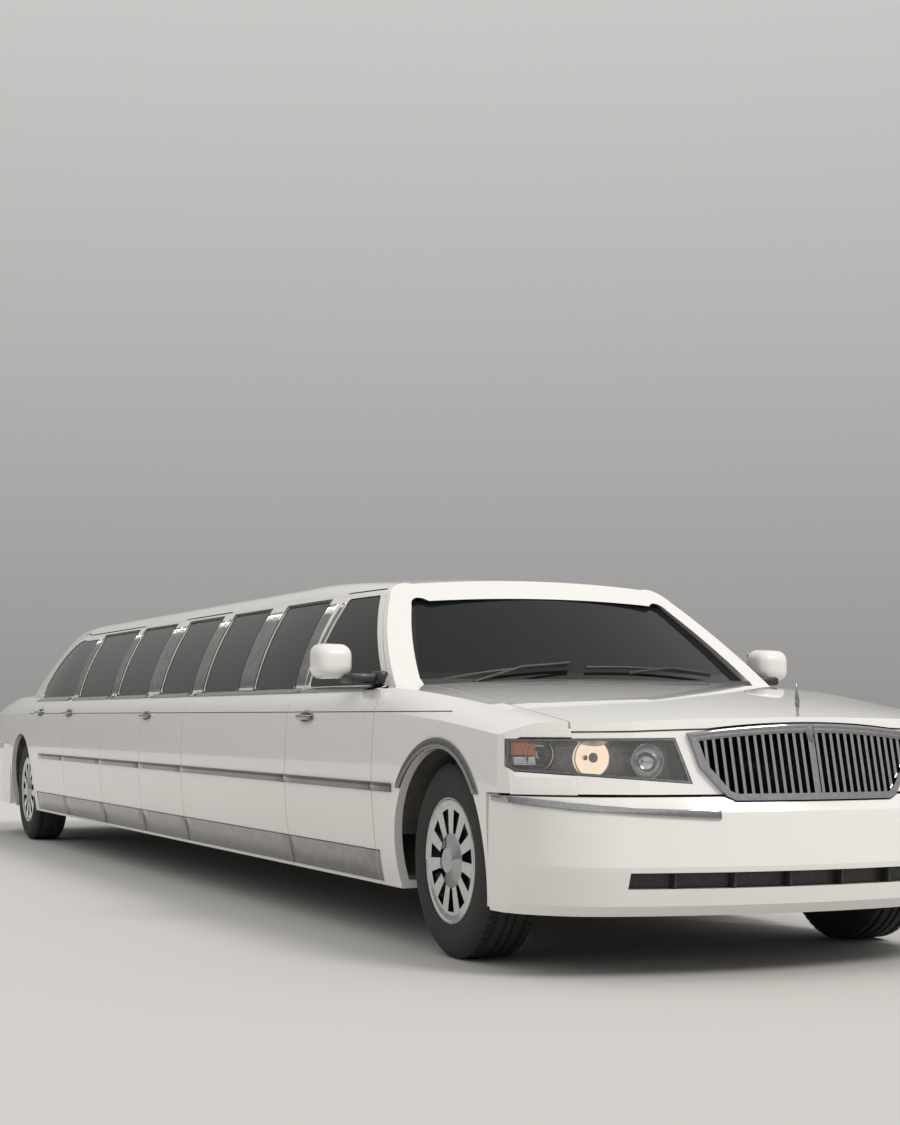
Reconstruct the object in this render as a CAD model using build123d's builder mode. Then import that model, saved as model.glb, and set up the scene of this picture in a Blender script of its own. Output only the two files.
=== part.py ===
# Stretch limousine in millimetres.
# +X points forward, +Y to the left side and +Z up. The origin lies on the ground, under the
# middle of the length and of the width.
# A place given from an axle keeps its distance to that axle when STRETCH changes.
from build123d import *
import os
from math import cos, radians, sin

os.makedirs("parts", exist_ok=True)

# Overall sizes
FRONT_OVERHANG = 1000
BASE_WHEELBASE = 2990
STRETCH = 4572
REAR_OVERHANG = 1481
FRONT_TRACK = 1610
REAR_TRACK = 1640
FLOOR_Z = 300
FLOOR_THICK = 18
BELT_Z = 975
ROOF_Z = 1502

WHEELBASE = BASE_WHEELBASE + STRETCH
NOSE_X = (FRONT_OVERHANG + WHEELBASE + REAR_OVERHANG) / 2
FRONT_AXLE_X = NOSE_X - FRONT_OVERHANG
REAR_AXLE_X = FRONT_AXLE_X - WHEELBASE
CAR_WIDTH = 2000

# Gaps
SHUT_GAP = 6
SEAT_CLEARANCE = 0.3

# Walls
SIDE_WALL_Y = 845
DOOR_INNER_Y = 850
FENDER_WALL = 30
ROOF_WALL = 45
GLASS_DEPTH = 4
GLASS_THICK = 6
DOOR_STEP = 28
FLANGE_THICK = 14
POST_WIDTH = 34
POST_OUTER_Y = 915
POST_TOP_Z = 920
HINGE_Y = (890, 930)
HINGE_Z = [(400, 450), (780, 830)]
HINGE_ROOT = 13
PILLAR_DEPTH = 16
HOOD_HINGE_X = (-575, -545)
HOOD_HINGE_Y = 700
LID_HINGE_Y = 600
LID_HINGE_WIDTH = 40
LID_HINGE_Z = 960
REAR_JAMB_X = 460
LINER_WALL = 8
TAIL_LAMP_X = -1180
LAMP_CUT_X = 500
LAMP_THICK = 60
LAMP_AIR = 6
BOWL_SET_BACK = 230
DECK_FRONT_X = -200
COWL_X = -740
COWL_Z = 940
BUMPER_TOP = 14
BUMPER_FLANGE = 60
GRILLE_STAND = 18
GRILLE_BAR_STAND = 8
GRILLE_BAR_DEPTH = 22
GRILLE_BAR_PITCH = 29
GRILLE_SPINE_WIDTH = 24

# Wheels
TYRE_RADIUS = 351
TYRE_WIDTH = 228
RIM_RADIUS = 222
RIM_BARREL_RADIUS = 196
ARCH_RADIUS = 402
REAR_ARCH_RADIUS = 392
ARCH_INNER_Y = 403
REAR_ARCH_INNER_Y = 680
KINGPIN_INSET = 45

# Body side, from the ground up
SILL_Z = 222
SIDE_Z = 590
ROCKER_Y = 940
SIDE_Y = 981
CREASE_Y = 968
CREASE_Z = 880
BELT_EDGE_Y = 908
MID_CROWN_Z = 1016

# Body sections. Columns: x from the axle, rocker y, side y, crease y, crease z, edge y,
# edge z, crown z.
MID_SECTION = (ROCKER_Y, SIDE_Y, CREASE_Y, CREASE_Z, BELT_EDGE_Y, BELT_Z, MID_CROWN_Z)
FRONT_SECTIONS = [
    (1100, 880, 908, 882, 728, 735, 772, 820),
    (500, 930, 957, 945, 805, 815, 868, 920),
    (0, 938, 964, 953, 852, 842, 927, 974),
    (-450, ROCKER_Y, SIDE_Y - 2, CREASE_Y - 1, CREASE_Z - 1, BELT_EDGE_Y - 8, 970, 1010),
    (-740, *MID_SECTION),
]
REAR_SECTIONS = [
    (640, *MID_SECTION),
    (420, ROCKER_Y, SIDE_Y - 1, CREASE_Y - 1, CREASE_Z, BELT_EDGE_Y - 3, BELT_Z + 3, 1030),
    (-100, 938, 978, 963, 884, 888, 996, 1066),
    (-700, 928, 966, 950, 880, 842, 1000, 1068),
    (-1560, 880, 905, 888, 842, 760, 960, 1022),
]

# Greenhouse sections. Columns: x from the axle, base y, rail y, rail z, shoulder y,
# shoulder z, crown z.
ROOF_FULL = (898, 690, 1395, 560, 1470, ROOF_Z)
ROOF_FRONT_SECTIONS = [
    (-300, 835, 628, 1300, 505, 1352, 1374),
    (-1200, 880, 670, 1366, 545, 1421, 1445),
    (-1750, 896, 686, 1389, 557, 1457, 1486),
    (-2400, *ROOF_FULL),
]
ROOF_REAR_SECTIONS = [
    (1000, *ROOF_FULL),
    (500, 893, 684, 1384, 552, 1453, 1484),
    (0, 868, 655, 1336, 525, 1402, 1433),
    (-500, 820, 600, 1240, 470, 1308, 1342),
]

# Windscreen and rear window: cylinders whose axes lean with the glass
SCREEN_BASE_X = -560
SCREEN_BASE_Z = 1010
SCREEN_LEAN = 33
SCREEN_RADIUS = 3150
SCREEN_FRAME_RADIUS = 4500
BACKLIGHT_BASE_X = -270
BACKLIGHT_BASE_Z = 1078
BACKLIGHT_LEAN = 32
BACKLIGHT_RADIUS = 2600
BACKLIGHT_FRAME_RADIUS = 3400
PILLAR_WIDTH = 72
SCREEN_FRAME_DEPTH = 50
SCREEN_SILL_Z = 1013
SCREEN_TOP_X = -1330
BACKLIGHT_SILL_Z = 1084
BACKLIGHT_TOP_X = 330

# Side windows. Columns: front x, rear x at the belt, from the front axle.
WINDOW_SILL_Z = 992
WINDOW_TOP_Z = 1378
WINDOW_LEAN = 75
WINDOW_CORNER = 24
WINDOWS = {
    "a": (-1785, -2375),
    "b": (-2630, -3230),
    "c": (-3440, -4070),
    "d": (-4355, -5050),
    "e": (-5215, -6075),
}
DOOR_TOP_Z = 1404

# Door cuts. Columns: front cut x, rear cut x at the belt, from the front axle.
FRONT_DOOR = (-600, -1660)
FIFTH_DOOR = (-3335, -4205)
CLUB_DOOR = (-5135, -6165)

# Front door frame, which follows the windscreen pillar
FRONT_FRAME_BASE_X = -716
FRONT_FRAME_TOP_X = -1296
FRONT_DOOR_REAR_LEAN = 30
FRONT_GLASS_MARGIN = 50

# Rear door, from the rear axle
REAR_DOOR_FRONT_X = CLUB_DOOR[1] + WHEELBASE
REAR_FRAME_X = 225
REAR_FRAME_ARC = [(940, DOOR_TOP_Z), (455, 1318), (REAR_FRAME_X, 1080)]
REAR_DOOR_ARCH_RADIUS = REAR_ARCH_RADIUS + 45
REAR_GLASS_X = 280
REAR_GLASS_TOP_Z = WINDOW_TOP_Z - 12
REAR_GLASS_ARC = [(930, REAR_GLASS_TOP_Z), (490, 1278), (REAR_GLASS_X, 1066)]
REAR_GLASS_MARGIN = 50

# Nose and tail in plan, at PLAN_Z. Columns: x from the axle, y.
PLAN_Z = 740
NOSE_MID_X = 925
NOSE_PLAN = [(825, 600), (704, 785), (540, 935), (380, 1000)]
NOSE_LEAN = 0.25
TAIL_MID_X = -1440
TAIL_PLAN = [(-1400, 570), (-1330, 785), (-1190, 915), (-1040, 1000)]
TAIL_LEAN = 0.16

# Bumpers in plan and upright. Level columns: z, set-back behind the foremost line.
BUMPER_PLAN = [(902, 640), (800, 825), (620, 938), (300, 962)]
BUMPER_LEVELS = [(214, 90), (250, 48), (366, 4), (380, 0), (556, 14), (604, 34)]
REAR_BUMPER_PLAN = [(-1392, 600), (-1290, 835), (-1100, 938), (-700, 972)]
REAR_BUMPER_LEVELS = [(236, 70), (280, 30), (420, 4), (560, 0), (640, 22), (668, 52)]
BUMPER_WALL = 32
BUMPER_CUT_X = 431
BUMPER_SEAM_Z = 606
REAR_BUMPER_CUT_X = -420
REAR_BUMPER_SEAM_Z = 670
INTAKE_Y = 655
INTAKE_Z = (307, 361)

# Hood and trunk lid in plan
HOOD_SIDE_Y = 775
LID_SIDE_Y = 745
LID_FRONT_X = -400
LID_BOTTOM_Z = 690
NOSE_WALL = 45

# Grille and lamps, seen from the front. Columns: y, z.
GRILLE_OUTLINE = [(432, 812), (405, 700), (330, 606), (300, 592)]
GRILLE_CROWN_Z = 842
GRILLE_RIM = 22
GRILLE_BARS = 13
GRILLE_BAR_WIDTH = 11
LAMP_OUTLINE = [(470, 796), (935, 792), (940, 700), (920, 684), (430, 646)]
LAMP_BOWLS = [(838, 740, 50), (703, 729, 60), (552, 719, 54)]
LAMP_DEPTH = 110
LENS_THICK = 6
TAIL_LAMP_OUTLINE = [(668, 900), (872, 905), (900, 880), (905, 735), (690, 720), (655, 760)]

# Wheel details, from the wheel's middle plane and from its axis
BEAD_RADIUS = 216
RIM_LIP = 5
RIM_HALF = 100
BULGE_RADIUS = 285
SHOULDER_RADIUS = 342
TREAD_HALF = 86
SPINDLE_RADIUS = 30
SPINDLE_REACH = 63
HUB_RADIUS = 60
HUB_FACE_Y = 100
HUB_OFFSET = 120
DISC_RADIUS = 150
DISC_Y = -15
DISC_THICK = 22
SPOKES = 11
SPOKE_THICK = 26
WINDOW_START = 92
WINDOW_END = 184
WINDOW_INNER = 9
WINDOW_OUTER = 27

# Front suspension. Arm columns: half spread, inner y, underside z, thickness.
ARMS = [
    (160, 395 + SEAT_CLEARANCE, 268, 24),
    (110, ARCH_INNER_Y + SEAT_CLEARANCE, 455.3, 17),
]
ARM_END = 22
COIL_Y = 520
COIL_RADIUS = 45

# Front structure, from the front axle
FIREWALL_X = -580
FIREWALL_Z = 385
APRON_OUTLINE = [(-580, 425), (-580, 930), (300, 880), (860, 800), (860, 435), (790, 435),
                 (790, 371), (430, 371), (430, 425)]
LINER_BOTTOM_Z = 425
RADIATOR_X = 640
RADIATOR_BAR_Z = (371, 740)
RADIATOR_THICK = 50
RADIATOR_Y = 360

# Floor. Profile columns: x, underside z. Plan columns: x, y.
FLOOR_Y = SIDE_WALL_Y - SEAT_CLEARANCE
FLOOR_FRONT = [(FIREWALL_X - SEAT_CLEARANCE, 400), (-900, FLOOR_Z)]
FLOOR_REAR = [(760, FLOOR_Z), (430, 510), (-620, 510), (-700, 440), (-1340, 440)]
FLOOR_TAIL = [(-1000, FLOOR_Y), (-1150, 830), (-1340, 600)]
TUNNEL_Y = 130
TUNNEL_Z = 420
TUNNEL_END_X = 600
SILL_START_X = -640
SILL_END_X = 410
SILL_WIDTH = 65
SILL_HEIGHT = (250, 380)
REAR_WALL_X = -250
REAR_WALL_Y = 676
SHELF_Z = 950
SHELF_FRONT_X = 60
CABIN_FLOOR_Z = FLOOR_Z + FLOOR_THICK + SEAT_CLEARANCE

# Frame rails. Plan columns: x, y. Side columns: x, underside z.
RAIL_PLAN_FRONT = [(800, 365), (-600, 365), (-900, 640)]
RAIL_PLAN_REAR = [(700, 640), (450, 560), (-1250, 560)]
RAIL_SIDE_FRONT = [(800, 270), (-600, 270), (-900, 190)]
RAIL_SIDE_REAR = [(750, 190), (400, 400), (-350, 400), (-600, 330), (-1250, 330)]
RAIL_WIDTH = 60
RAIL_HEIGHT = 100
CROSS_PITCH = 900
CROSS_FRONT_X = -1000
CROSS_REAR_X = 640
CROSS_WIDTH = 80
CROSS_Y = 640
CROSS_HEIGHT = (240, FLOOR_Z - SEAT_CLEARANCE)
SADDLE_Y = 60
BEAM_X = 835
REAR_BEAM_X = -1285
BEAM_Y = 600
BEAM_DEPTH = 35
BEAM_Z = (300, 430)
CRADLE_Z = (240, 300)
SPRING_BEAM_Y = 560
BRACKET_Y = (-300, 250)
BRACKET_WIDTH = 50
BRACKET_Z = (385, 425)

# Drive
ENGINE_X = (-300, 400)
ENGINE_Y = 300
ENGINE_Z = (300 + SEAT_CLEARANCE, 850)
SHAFT_RADIUS = 40
AXLE_RADIUS = 38
DIFF_RADIUS = 105
ARM_Y = 520
ARM_Z = 320
ARM_RADIUS = 20
SPRING_Y = 440
SPRING_RADIUS = 50
SPRING_TOP_Z = 460
EXHAUST_X = (-960, -1300)
EXHAUST_Y = 520
EXHAUST_RADIUS = 28
EXHAUST_Z = CROSS_HEIGHT[0] - EXHAUST_RADIUS - SEAT_CLEARANCE
TANK_X = (-1180, -720)
TANK_Y = 440
TANK_BOTTOM_Z = 260
TANK_CORNER = 40

# Mirrors
MIRROR_FOOT = [(-770, 985), (-910, 985), (-910, 1085)]
MIRROR_FOOT_THICK = 8
MIRROR_ARM_X = (-905, -850)
MIRROR_ARM_Y = (850, 990)
MIRROR_ARM_Z = (1010, 1045)
MIRROR_FACE_X = -1030
MIRROR_DEPTH = 150
MIRROR_Y = 1015
MIRROR_Z = 1087
MIRROR_WIDTH = 165
MIRROR_HEIGHT = 150
MIRROR_CORNER = 40

# Cabin, from the front axle; the rear bench from the rear axle
DASH_OUTLINE = [(FIREWALL_X - SEAT_CLEARANCE, 600), (FIREWALL_X - SEAT_CLEARANCE, 925),
                (-700, 935), (-750, 952), (-990, 905), (-1005, 700), (-880, 560)]
DASH_Y = 830
HELM_X = -1130
HELM_Y = 400
HELM_Z = 900
HELM_TILT = 30
HELM_RADIUS = 190
HELM_GRIP = 14
HELM_BOSS = 60
HELM_SPOKE = 36
HELM_COLUMN_RADIUS = 26
HELM_COLUMN_LENGTH = 170
FRONT_SEAT_X = -1040
FRONT_SEAT_Y = (-400, 400)
FRONT_SEAT_WIDTH = 530
SEAT_OUTLINE = [(-20, CABIN_FLOOR_Z), (0, 470), (-440, 440), (-580, 1020), (-570, 1150),
                (-650, 1150), (-670, 1000), (-540, CABIN_FLOOR_Z)]
PARTITION_X = -1740
PARTITION_THICK = 20
PARTITION_SEAM_Z = 960
PARTITION_WINDOW_Y = 400
PARTITION_WINDOW_Z = (1000, 1280)
SIDE_BENCH_X = (-5900, -2300)
CABIN_Y = FLOOR_Y - SILL_WIDTH - SEAT_CLEARANCE
CABIN_SILL_Z = SILL_HEIGHT[1] + SEAT_CLEARANCE
SIDE_BENCH_OUTLINE = [(440, CABIN_FLOOR_Z), (420, 560), (700, 570), (740, 960), (838, 960),
                      (838, CABIN_SILL_Z), (CABIN_Y, CABIN_SILL_Z), (CABIN_Y, CABIN_FLOOR_Z)]
REAR_BENCH_Y = 650
REAR_BENCH_OUTLINE = [(1130, CABIN_FLOOR_Z), (1150, 570), (640, 560), (430, 1020), (300, 1020),
                      (300, 530), (430, 530), (761, CABIN_FLOOR_Z)]
BAR_CABINETS = [(-3280, -1900), (-5080, -4260)]
BAR_Y = (-CABIN_Y, -520)
BAR_TOP_Z = 900


def front(x):
    """Turns a distance from the front axle into a place along the car."""
    return FRONT_AXLE_X + x


def rear(x):
    """Turns a distance from the rear axle into a place along the car."""
    return REAR_AXLE_X + x


def finish(piece, name):
    """Labels a finished piece and writes it."""
    piece.part.label = name
    export_step(piece.part, f"parts/{name}.step")


# Outer forms of the body


def body_section(x, row, inset=0.0):
    """Draws one closed section of the lower body, across the car at x."""
    rocker_y, side_y, crease_y, crease_z, edge_y, edge_z, crown_z = row
    rocker = (rocker_y - inset, SILL_Z + inset)
    side = (side_y - inset, SIDE_Z)
    crease = (crease_y - inset, crease_z - inset * 0.3)
    edge = (edge_y - inset * 0.8, edge_z - inset * 0.9)
    bow = ((crease[0] + edge[0]) / 2 + 9, (crease[1] + edge[1]) / 2 + 7)
    crown = (0, crown_z - inset)
    with BuildSketch(Plane.YZ.offset(x)) as section:
        with BuildLine():
            Line((-rocker[0], rocker[1]), rocker)
            ThreePointArc(rocker, side, crease)
            ThreePointArc(crease, bow, edge)
            ThreePointArc(edge, crown, (-edge[0], edge[1]))
            ThreePointArc((-edge[0], edge[1]), (-bow[0], bow[1]), (-crease[0], crease[1]))
            ThreePointArc((-crease[0], crease[1]), (-side[0], side[1]), (-rocker[0], rocker[1]))
        make_face()
    return section.sketch


def roof_section(x, row, inset=0.0):
    """Draws one closed section of the greenhouse, across the car at x."""
    base_y, rail_y, rail_z, shoulder_y, shoulder_z, crown_z = row
    base = (base_y - inset, BELT_Z - abs(inset))
    rail = (rail_y - inset * 0.85, rail_z - inset * 0.5)
    glass = ((base[0] + rail[0]) / 2 + 20, (base[1] + rail[1]) / 2 + 10)
    shoulder = (shoulder_y - inset * 0.3, shoulder_z - inset * 0.95)
    bend = ((rail[0] + shoulder[0]) / 2 + 15, (rail[1] + shoulder[1]) / 2 + 18)
    crown = (0, crown_z - inset)
    with BuildSketch(Plane.YZ.offset(x)) as section:
        with BuildLine():
            Line((-base[0], base[1]), base)
            ThreePointArc(base, glass, rail)
            ThreePointArc(rail, bend, shoulder)
            ThreePointArc(shoulder, crown, (-shoulder[0], shoulder[1]))
            ThreePointArc((-shoulder[0], shoulder[1]), (-bend[0], bend[1]), (-rail[0], rail[1]))
            ThreePointArc((-rail[0], rail[1]), (-glass[0], glass[1]), (-base[0], base[1]))
        make_face()
    return section.sketch


def loft_front(inset=0.0):
    """Lofts the front of the lower body, from the doors to the nose."""
    with BuildPart() as skin:
        for x, *row in FRONT_SECTIONS:
            add(body_section(front(x), row, inset))
        loft()
    return skin.part


def loft_rear(inset=0.0):
    """Lofts the rear of the lower body, from the last door to the tail."""
    with BuildPart() as skin:
        for x, *row in REAR_SECTIONS:
            add(body_section(rear(x), row, inset))
        loft()
    return skin.part


def straight_middle(inset=0.0):
    """Extrudes the lower body between the lofted ends."""
    start = rear(REAR_SECTIONS[0][0])
    length = front(FRONT_SECTIONS[-1][0]) - start
    with BuildPart() as skin:
        extrude(body_section(start, MID_SECTION, inset), amount=length, dir=(1, 0, 0))
    return skin.part


def loft_roof(inset=0.0):
    """Lofts the greenhouse: a falling front, a straight middle and a falling rear."""
    start = rear(ROOF_REAR_SECTIONS[0][0])
    length = front(ROOF_FRONT_SECTIONS[-1][0]) - start
    with BuildPart() as skin:
        for x, *row in ROOF_FRONT_SECTIONS:
            add(roof_section(front(x), row, inset))
        loft()
        extrude(roof_section(start, ROOF_FULL, inset), amount=length, dir=(1, 0, 0))
        for x, *row in ROOF_REAR_SECTIONS:
            add(roof_section(rear(x), row, inset))
        loft()
    return skin.part


def leaning_plane(base_x, base_z, lean, radius, facing):
    """Places a screen's circle across its slope; facing is 1 forward and -1 to the rear."""
    slope = radians(lean)
    along = Vector(-cos(slope) * facing, 0, sin(slope))
    normal = Vector(sin(slope) * facing, 0, cos(slope))
    centre = Vector(base_x, 0, base_z) - normal * radius
    return Plane(origin=centre, x_dir=(0, 1, 0), z_dir=along)


def screen_form(radius, depth=0.0):
    """Gives the space behind the windscreen's surface."""
    plane = leaning_plane(front(SCREEN_BASE_X), SCREEN_BASE_Z, SCREEN_LEAN, radius, 1)
    with BuildPart() as form:
        with BuildSketch(plane):
            Circle(radius - depth)
        extrude(amount=NOSE_X * 2, both=True)
    return form.part


def backlight_form(radius, depth=0.0):
    """Gives the space in front of the rear window's surface."""
    plane = leaning_plane(rear(BACKLIGHT_BASE_X), BACKLIGHT_BASE_Z, BACKLIGHT_LEAN, radius, -1)
    with BuildPart() as form:
        with BuildSketch(plane):
            Circle(radius - depth)
        extrude(amount=NOSE_X * 2, both=True)
    return form.part


def plan_face(z, mid_x, points, set_back):
    """Draws an end of the car in plan, closed at the middle of the car."""
    facing = 1 if mid_x > 0 else -1
    placed = [(x - set_back * facing, y) for x, y in points]
    mirrored = [(x, -y) for x, y in placed]
    with BuildSketch(Plane.XY.offset(z)) as face:
        with BuildLine():
            ThreePointArc(mirrored[0], (mid_x - set_back * facing, 0), placed[0])
            ThreePointArc(*placed[:3])
            Polyline(placed[2], placed[3], (0, placed[3][1]), (0, mirrored[3][1]),
                     mirrored[3], mirrored[2])
            ThreePointArc(mirrored[2], mirrored[1], mirrored[0])
        make_face()
    return face.sketch


def end_form(place, mid_x, points, levels):
    """Stacks plan faces, each at its height and set-back, into one end of the car."""
    along = [(place(x), y) for x, y in points]
    with BuildPart() as form:
        for z, set_back in levels:
            add(plan_face(z, place(mid_x), along, set_back))
        loft(ruled=True)
    return form.part


def nose_form(set_back=0.0):
    """Gives the space behind the leaning nose."""
    levels = [(z, set_back + (z - PLAN_Z) * NOSE_LEAN) for z in (0, ROOF_Z)]
    return end_form(front, NOSE_MID_X, NOSE_PLAN, levels)


def tail_form(set_back=0.0):
    """Gives the space in front of the leaning tail."""
    levels = [(z, set_back + (z - PLAN_Z) * TAIL_LEAN) for z in (0, ROOF_Z)]
    return end_form(rear, TAIL_MID_X, TAIL_PLAN, levels)


def bumper_form(set_back=0.0):
    """Gives the front bumper's space; its inside is the same form set back."""
    levels = [(z, back + set_back) for z, back in BUMPER_LEVELS]
    plan = [(x, y - set_back) for x, y in BUMPER_PLAN]
    return end_form(front, FRONT_OVERHANG, plan, levels)


def rear_bumper_form(set_back=0.0):
    """Gives the rear bumper's space; its inside is the same form set back."""
    levels = [(z, back + set_back) for z, back in REAR_BUMPER_LEVELS]
    plan = [(x, y - set_back) for x, y in REAR_BUMPER_PLAN]
    return end_form(rear, -REAR_OVERHANG, plan, levels)


def box(x_range, y_range, z_range):
    """Makes a block from its lowest and highest x, y and z."""
    with BuildPart() as block:
        with BuildSketch(Plane.XY.offset(z_range[0])):
            with Locations(((x_range[0] + x_range[1]) / 2, (y_range[0] + y_range[1]) / 2)):
                Rectangle(x_range[1] - x_range[0], y_range[1] - y_range[0])
        extrude(amount=z_range[1] - z_range[0])
    return block.part


def side_prism(outline, side, y_range, grow=0.0, corner=0.0):
    """Extrudes an outline seen from the side, through a range of distances from the middle."""
    with BuildSketch(Plane.XZ.offset(-side * y_range[0])) as drawing:
        add(outline)
        if corner:
            fillet(drawing.vertices(), corner)
        if grow:
            offset(amount=grow, kind=Kind.ARC)
    with BuildPart() as prism:
        extrude(drawing.sketch, amount=y_range[1] - y_range[0], dir=(0, side, 0))
    return prism.part


def front_prism(outline, x_range, grow=0.0):
    """Extrudes an outline seen from the front, through a range along the car."""
    with BuildSketch(Plane.YZ.offset(x_range[0])) as drawing:
        add(outline)
        if grow:
            offset(amount=grow, kind=Kind.ARC)
    with BuildPart() as prism:
        extrude(drawing.sketch, amount=x_range[1] - x_range[0], dir=(1, 0, 0))
    return prism.part


def polygon(points):
    """Draws a closed outline of straight lines."""
    with BuildSketch() as drawing:
        with BuildLine():
            Polyline(*points, close=True)
        make_face()
    return drawing.sketch


def wheel_space(place_x, radius, side, inner_y):
    """Makes the round space of a wheel arch."""
    with BuildPart() as space:
        with BuildSketch(Plane.XZ.offset(-side * inner_y)):
            with Locations((place_x, TYRE_RADIUS)):
                Circle(radius)
        extrude(amount=CAR_WIDTH - inner_y, dir=(0, side, 0))
    return space.part


def tube(start, end, radius):
    """Makes a round bar between two points."""
    axis = Vector(*end) - Vector(*start)
    with BuildPart() as bar:
        with BuildSketch(Plane(origin=start, z_dir=axis)):
            Circle(radius)
        extrude(amount=axis.length)
    return bar.part


# Outlines seen from the side


def window_outline(front_x, rear_x):
    """Draws a side window that leans back towards its top."""
    return polygon([
        (front(front_x), WINDOW_SILL_Z), (front(front_x - WINDOW_LEAN), WINDOW_TOP_Z),
        (front(rear_x - WINDOW_LEAN), WINDOW_TOP_Z), (front(rear_x), WINDOW_SILL_Z),
    ])


def door_outline(front_x, rear_x):
    """Draws a door between two cuts, upright below the belt and leaning above it."""
    return polygon([
        (front(front_x), 0), (front(front_x), BELT_Z),
        (front(front_x - WINDOW_LEAN), DOOR_TOP_Z), (front(rear_x - WINDOW_LEAN), DOOR_TOP_Z),
        (front(rear_x), BELT_Z), (front(rear_x), 0),
    ])


def front_door_outline():
    """Draws the front door, whose window frame follows the windscreen pillar."""
    front_x, rear_x = FRONT_DOOR
    return polygon([
        (front(front_x), 0), (front(front_x), BELT_Z), (front(FRONT_FRAME_BASE_X), BELT_Z),
        (front(FRONT_FRAME_TOP_X), DOOR_TOP_Z),
        (front(rear_x - FRONT_DOOR_REAR_LEAN), DOOR_TOP_Z), (front(rear_x), BELT_Z),
        (front(rear_x), 0),
    ])


def front_window_outline():
    """Draws the front door's window."""
    slope = (FRONT_FRAME_TOP_X - FRONT_FRAME_BASE_X) / (DOOR_TOP_Z - BELT_Z)
    frame_x = FRONT_FRAME_BASE_X - FRONT_GLASS_MARGIN
    rear_x = FRONT_DOOR[1] + FRONT_GLASS_MARGIN
    return polygon([
        (front(frame_x + slope * (WINDOW_SILL_Z - BELT_Z)), WINDOW_SILL_Z),
        (front(frame_x + slope * (WINDOW_TOP_Z - BELT_Z)), WINDOW_TOP_Z),
        (front(rear_x - FRONT_DOOR_REAR_LEAN), WINDOW_TOP_Z), (front(rear_x), WINDOW_SILL_Z),
    ])


def rear_door_outline():
    """Draws the rear door, with its round window frame and its cut round the wheel arch."""
    x0, radius = rear(REAR_DOOR_FRONT_X), REAR_DOOR_ARCH_RADIUS
    arc = [(rear(x), z) for x, z in REAR_FRAME_ARC]
    knee = (rear(radius * cos(radians(38))), TYRE_RADIUS + radius * sin(radians(38)))
    middle = (rear(radius * cos(radians(18))), TYRE_RADIUS + radius * sin(radians(18)))
    arch_end = (rear(radius), TYRE_RADIUS)
    with BuildSketch() as drawing:
        with BuildLine():
            Polyline((x0, 0), (x0, BELT_Z), (x0 - WINDOW_LEAN, DOOR_TOP_Z), arc[0])
            ThreePointArc(*arc)
            Line(arc[2], (arc[2][0], BELT_Z))
            ThreePointArc((arc[2][0], BELT_Z), (rear(REAR_FRAME_X + 40), 800), knee)
            ThreePointArc(knee, middle, arch_end)
            Polyline(arch_end, (arch_end[0], 0), (x0, 0))
        make_face()
    return drawing.sketch


def rear_window_outline():
    """Draws the rear door's window with its round rear end."""
    x0 = rear(REAR_DOOR_FRONT_X - REAR_GLASS_MARGIN)
    arc = [(rear(x), z) for x, z in REAR_GLASS_ARC]
    with BuildSketch() as drawing:
        with BuildLine():
            Polyline((x0, WINDOW_SILL_Z), (x0 - WINDOW_LEAN, REAR_GLASS_TOP_Z), arc[0])
            ThreePointArc(*arc)
            Polyline(arc[2], (arc[2][0], WINDOW_SILL_Z), (x0, WINDOW_SILL_Z))
        make_face()
    return drawing.sketch


def mirrored_outline(points, crown_z):
    """Draws an outline that is the same left and right of the middle, with a round top."""
    with BuildSketch() as drawing:
        with BuildLine():
            right = [(-y, z) for y, z in points]
            ThreePointArc(right[0], (0, crown_z), points[0])
            Polyline(*points)
            Polyline(points[-1], right[-1])
            Polyline(*reversed(right))
        make_face()
    return drawing.sketch


# Body shells that the panels are cut from
REACH = NOSE_X + CAR_WIDTH
CAR_SPAN = (-CAR_WIDTH, CAR_WIDTH)
BODY_HEIGHT = (0, ROOF_Z)


def greenhouse(inset=0.0, screen_depth=0.0):
    """Makes the solid greenhouse, trimmed by the windscreen and the rear window."""
    with BuildPart() as form:
        add(loft_roof(inset))
        add(screen_form(SCREEN_FRAME_RADIUS, screen_depth), mode=Mode.INTERSECT)
        add(backlight_form(BACKLIGHT_FRAME_RADIUS, screen_depth), mode=Mode.INTERSECT)
    return form.part


open_bottom = (-ROCKER_Y + 2 * FENDER_WALL, ROCKER_Y - 2 * FENDER_WALL)
bottom_z = (0, SILL_Z + 2 * FENDER_WALL)
front_skin = loft_front()
front_shell = (front_skin & nose_form()) - loft_front(FENDER_WALL)
front_shell -= box((0, REACH), open_bottom, bottom_z)
front_inside = loft_front(FENDER_WALL + SEAT_CLEARANCE)
rear_skin = loft_rear()
rear_cavity = loft_rear(FENDER_WALL) & tail_form(FENDER_WALL)
rear_shell = (rear_skin & tail_form()) - rear_cavity
rear_shell -= box((-REACH, 0), open_bottom, bottom_z)
rear_inside = loft_rear(FENDER_WALL + SEAT_CLEARANCE)
middle_skin = straight_middle()
roof_shell = greenhouse() - greenhouse(ROOF_WALL, SCREEN_FRAME_DEPTH)
roof_space = greenhouse(-SEAT_CLEARANCE, -SEAT_CLEARANCE)
roof_flange = loft_roof(FLANGE_THICK)
glass_shell = loft_roof(GLASS_DEPTH) - loft_roof(GLASS_DEPTH + GLASS_THICK)

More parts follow.
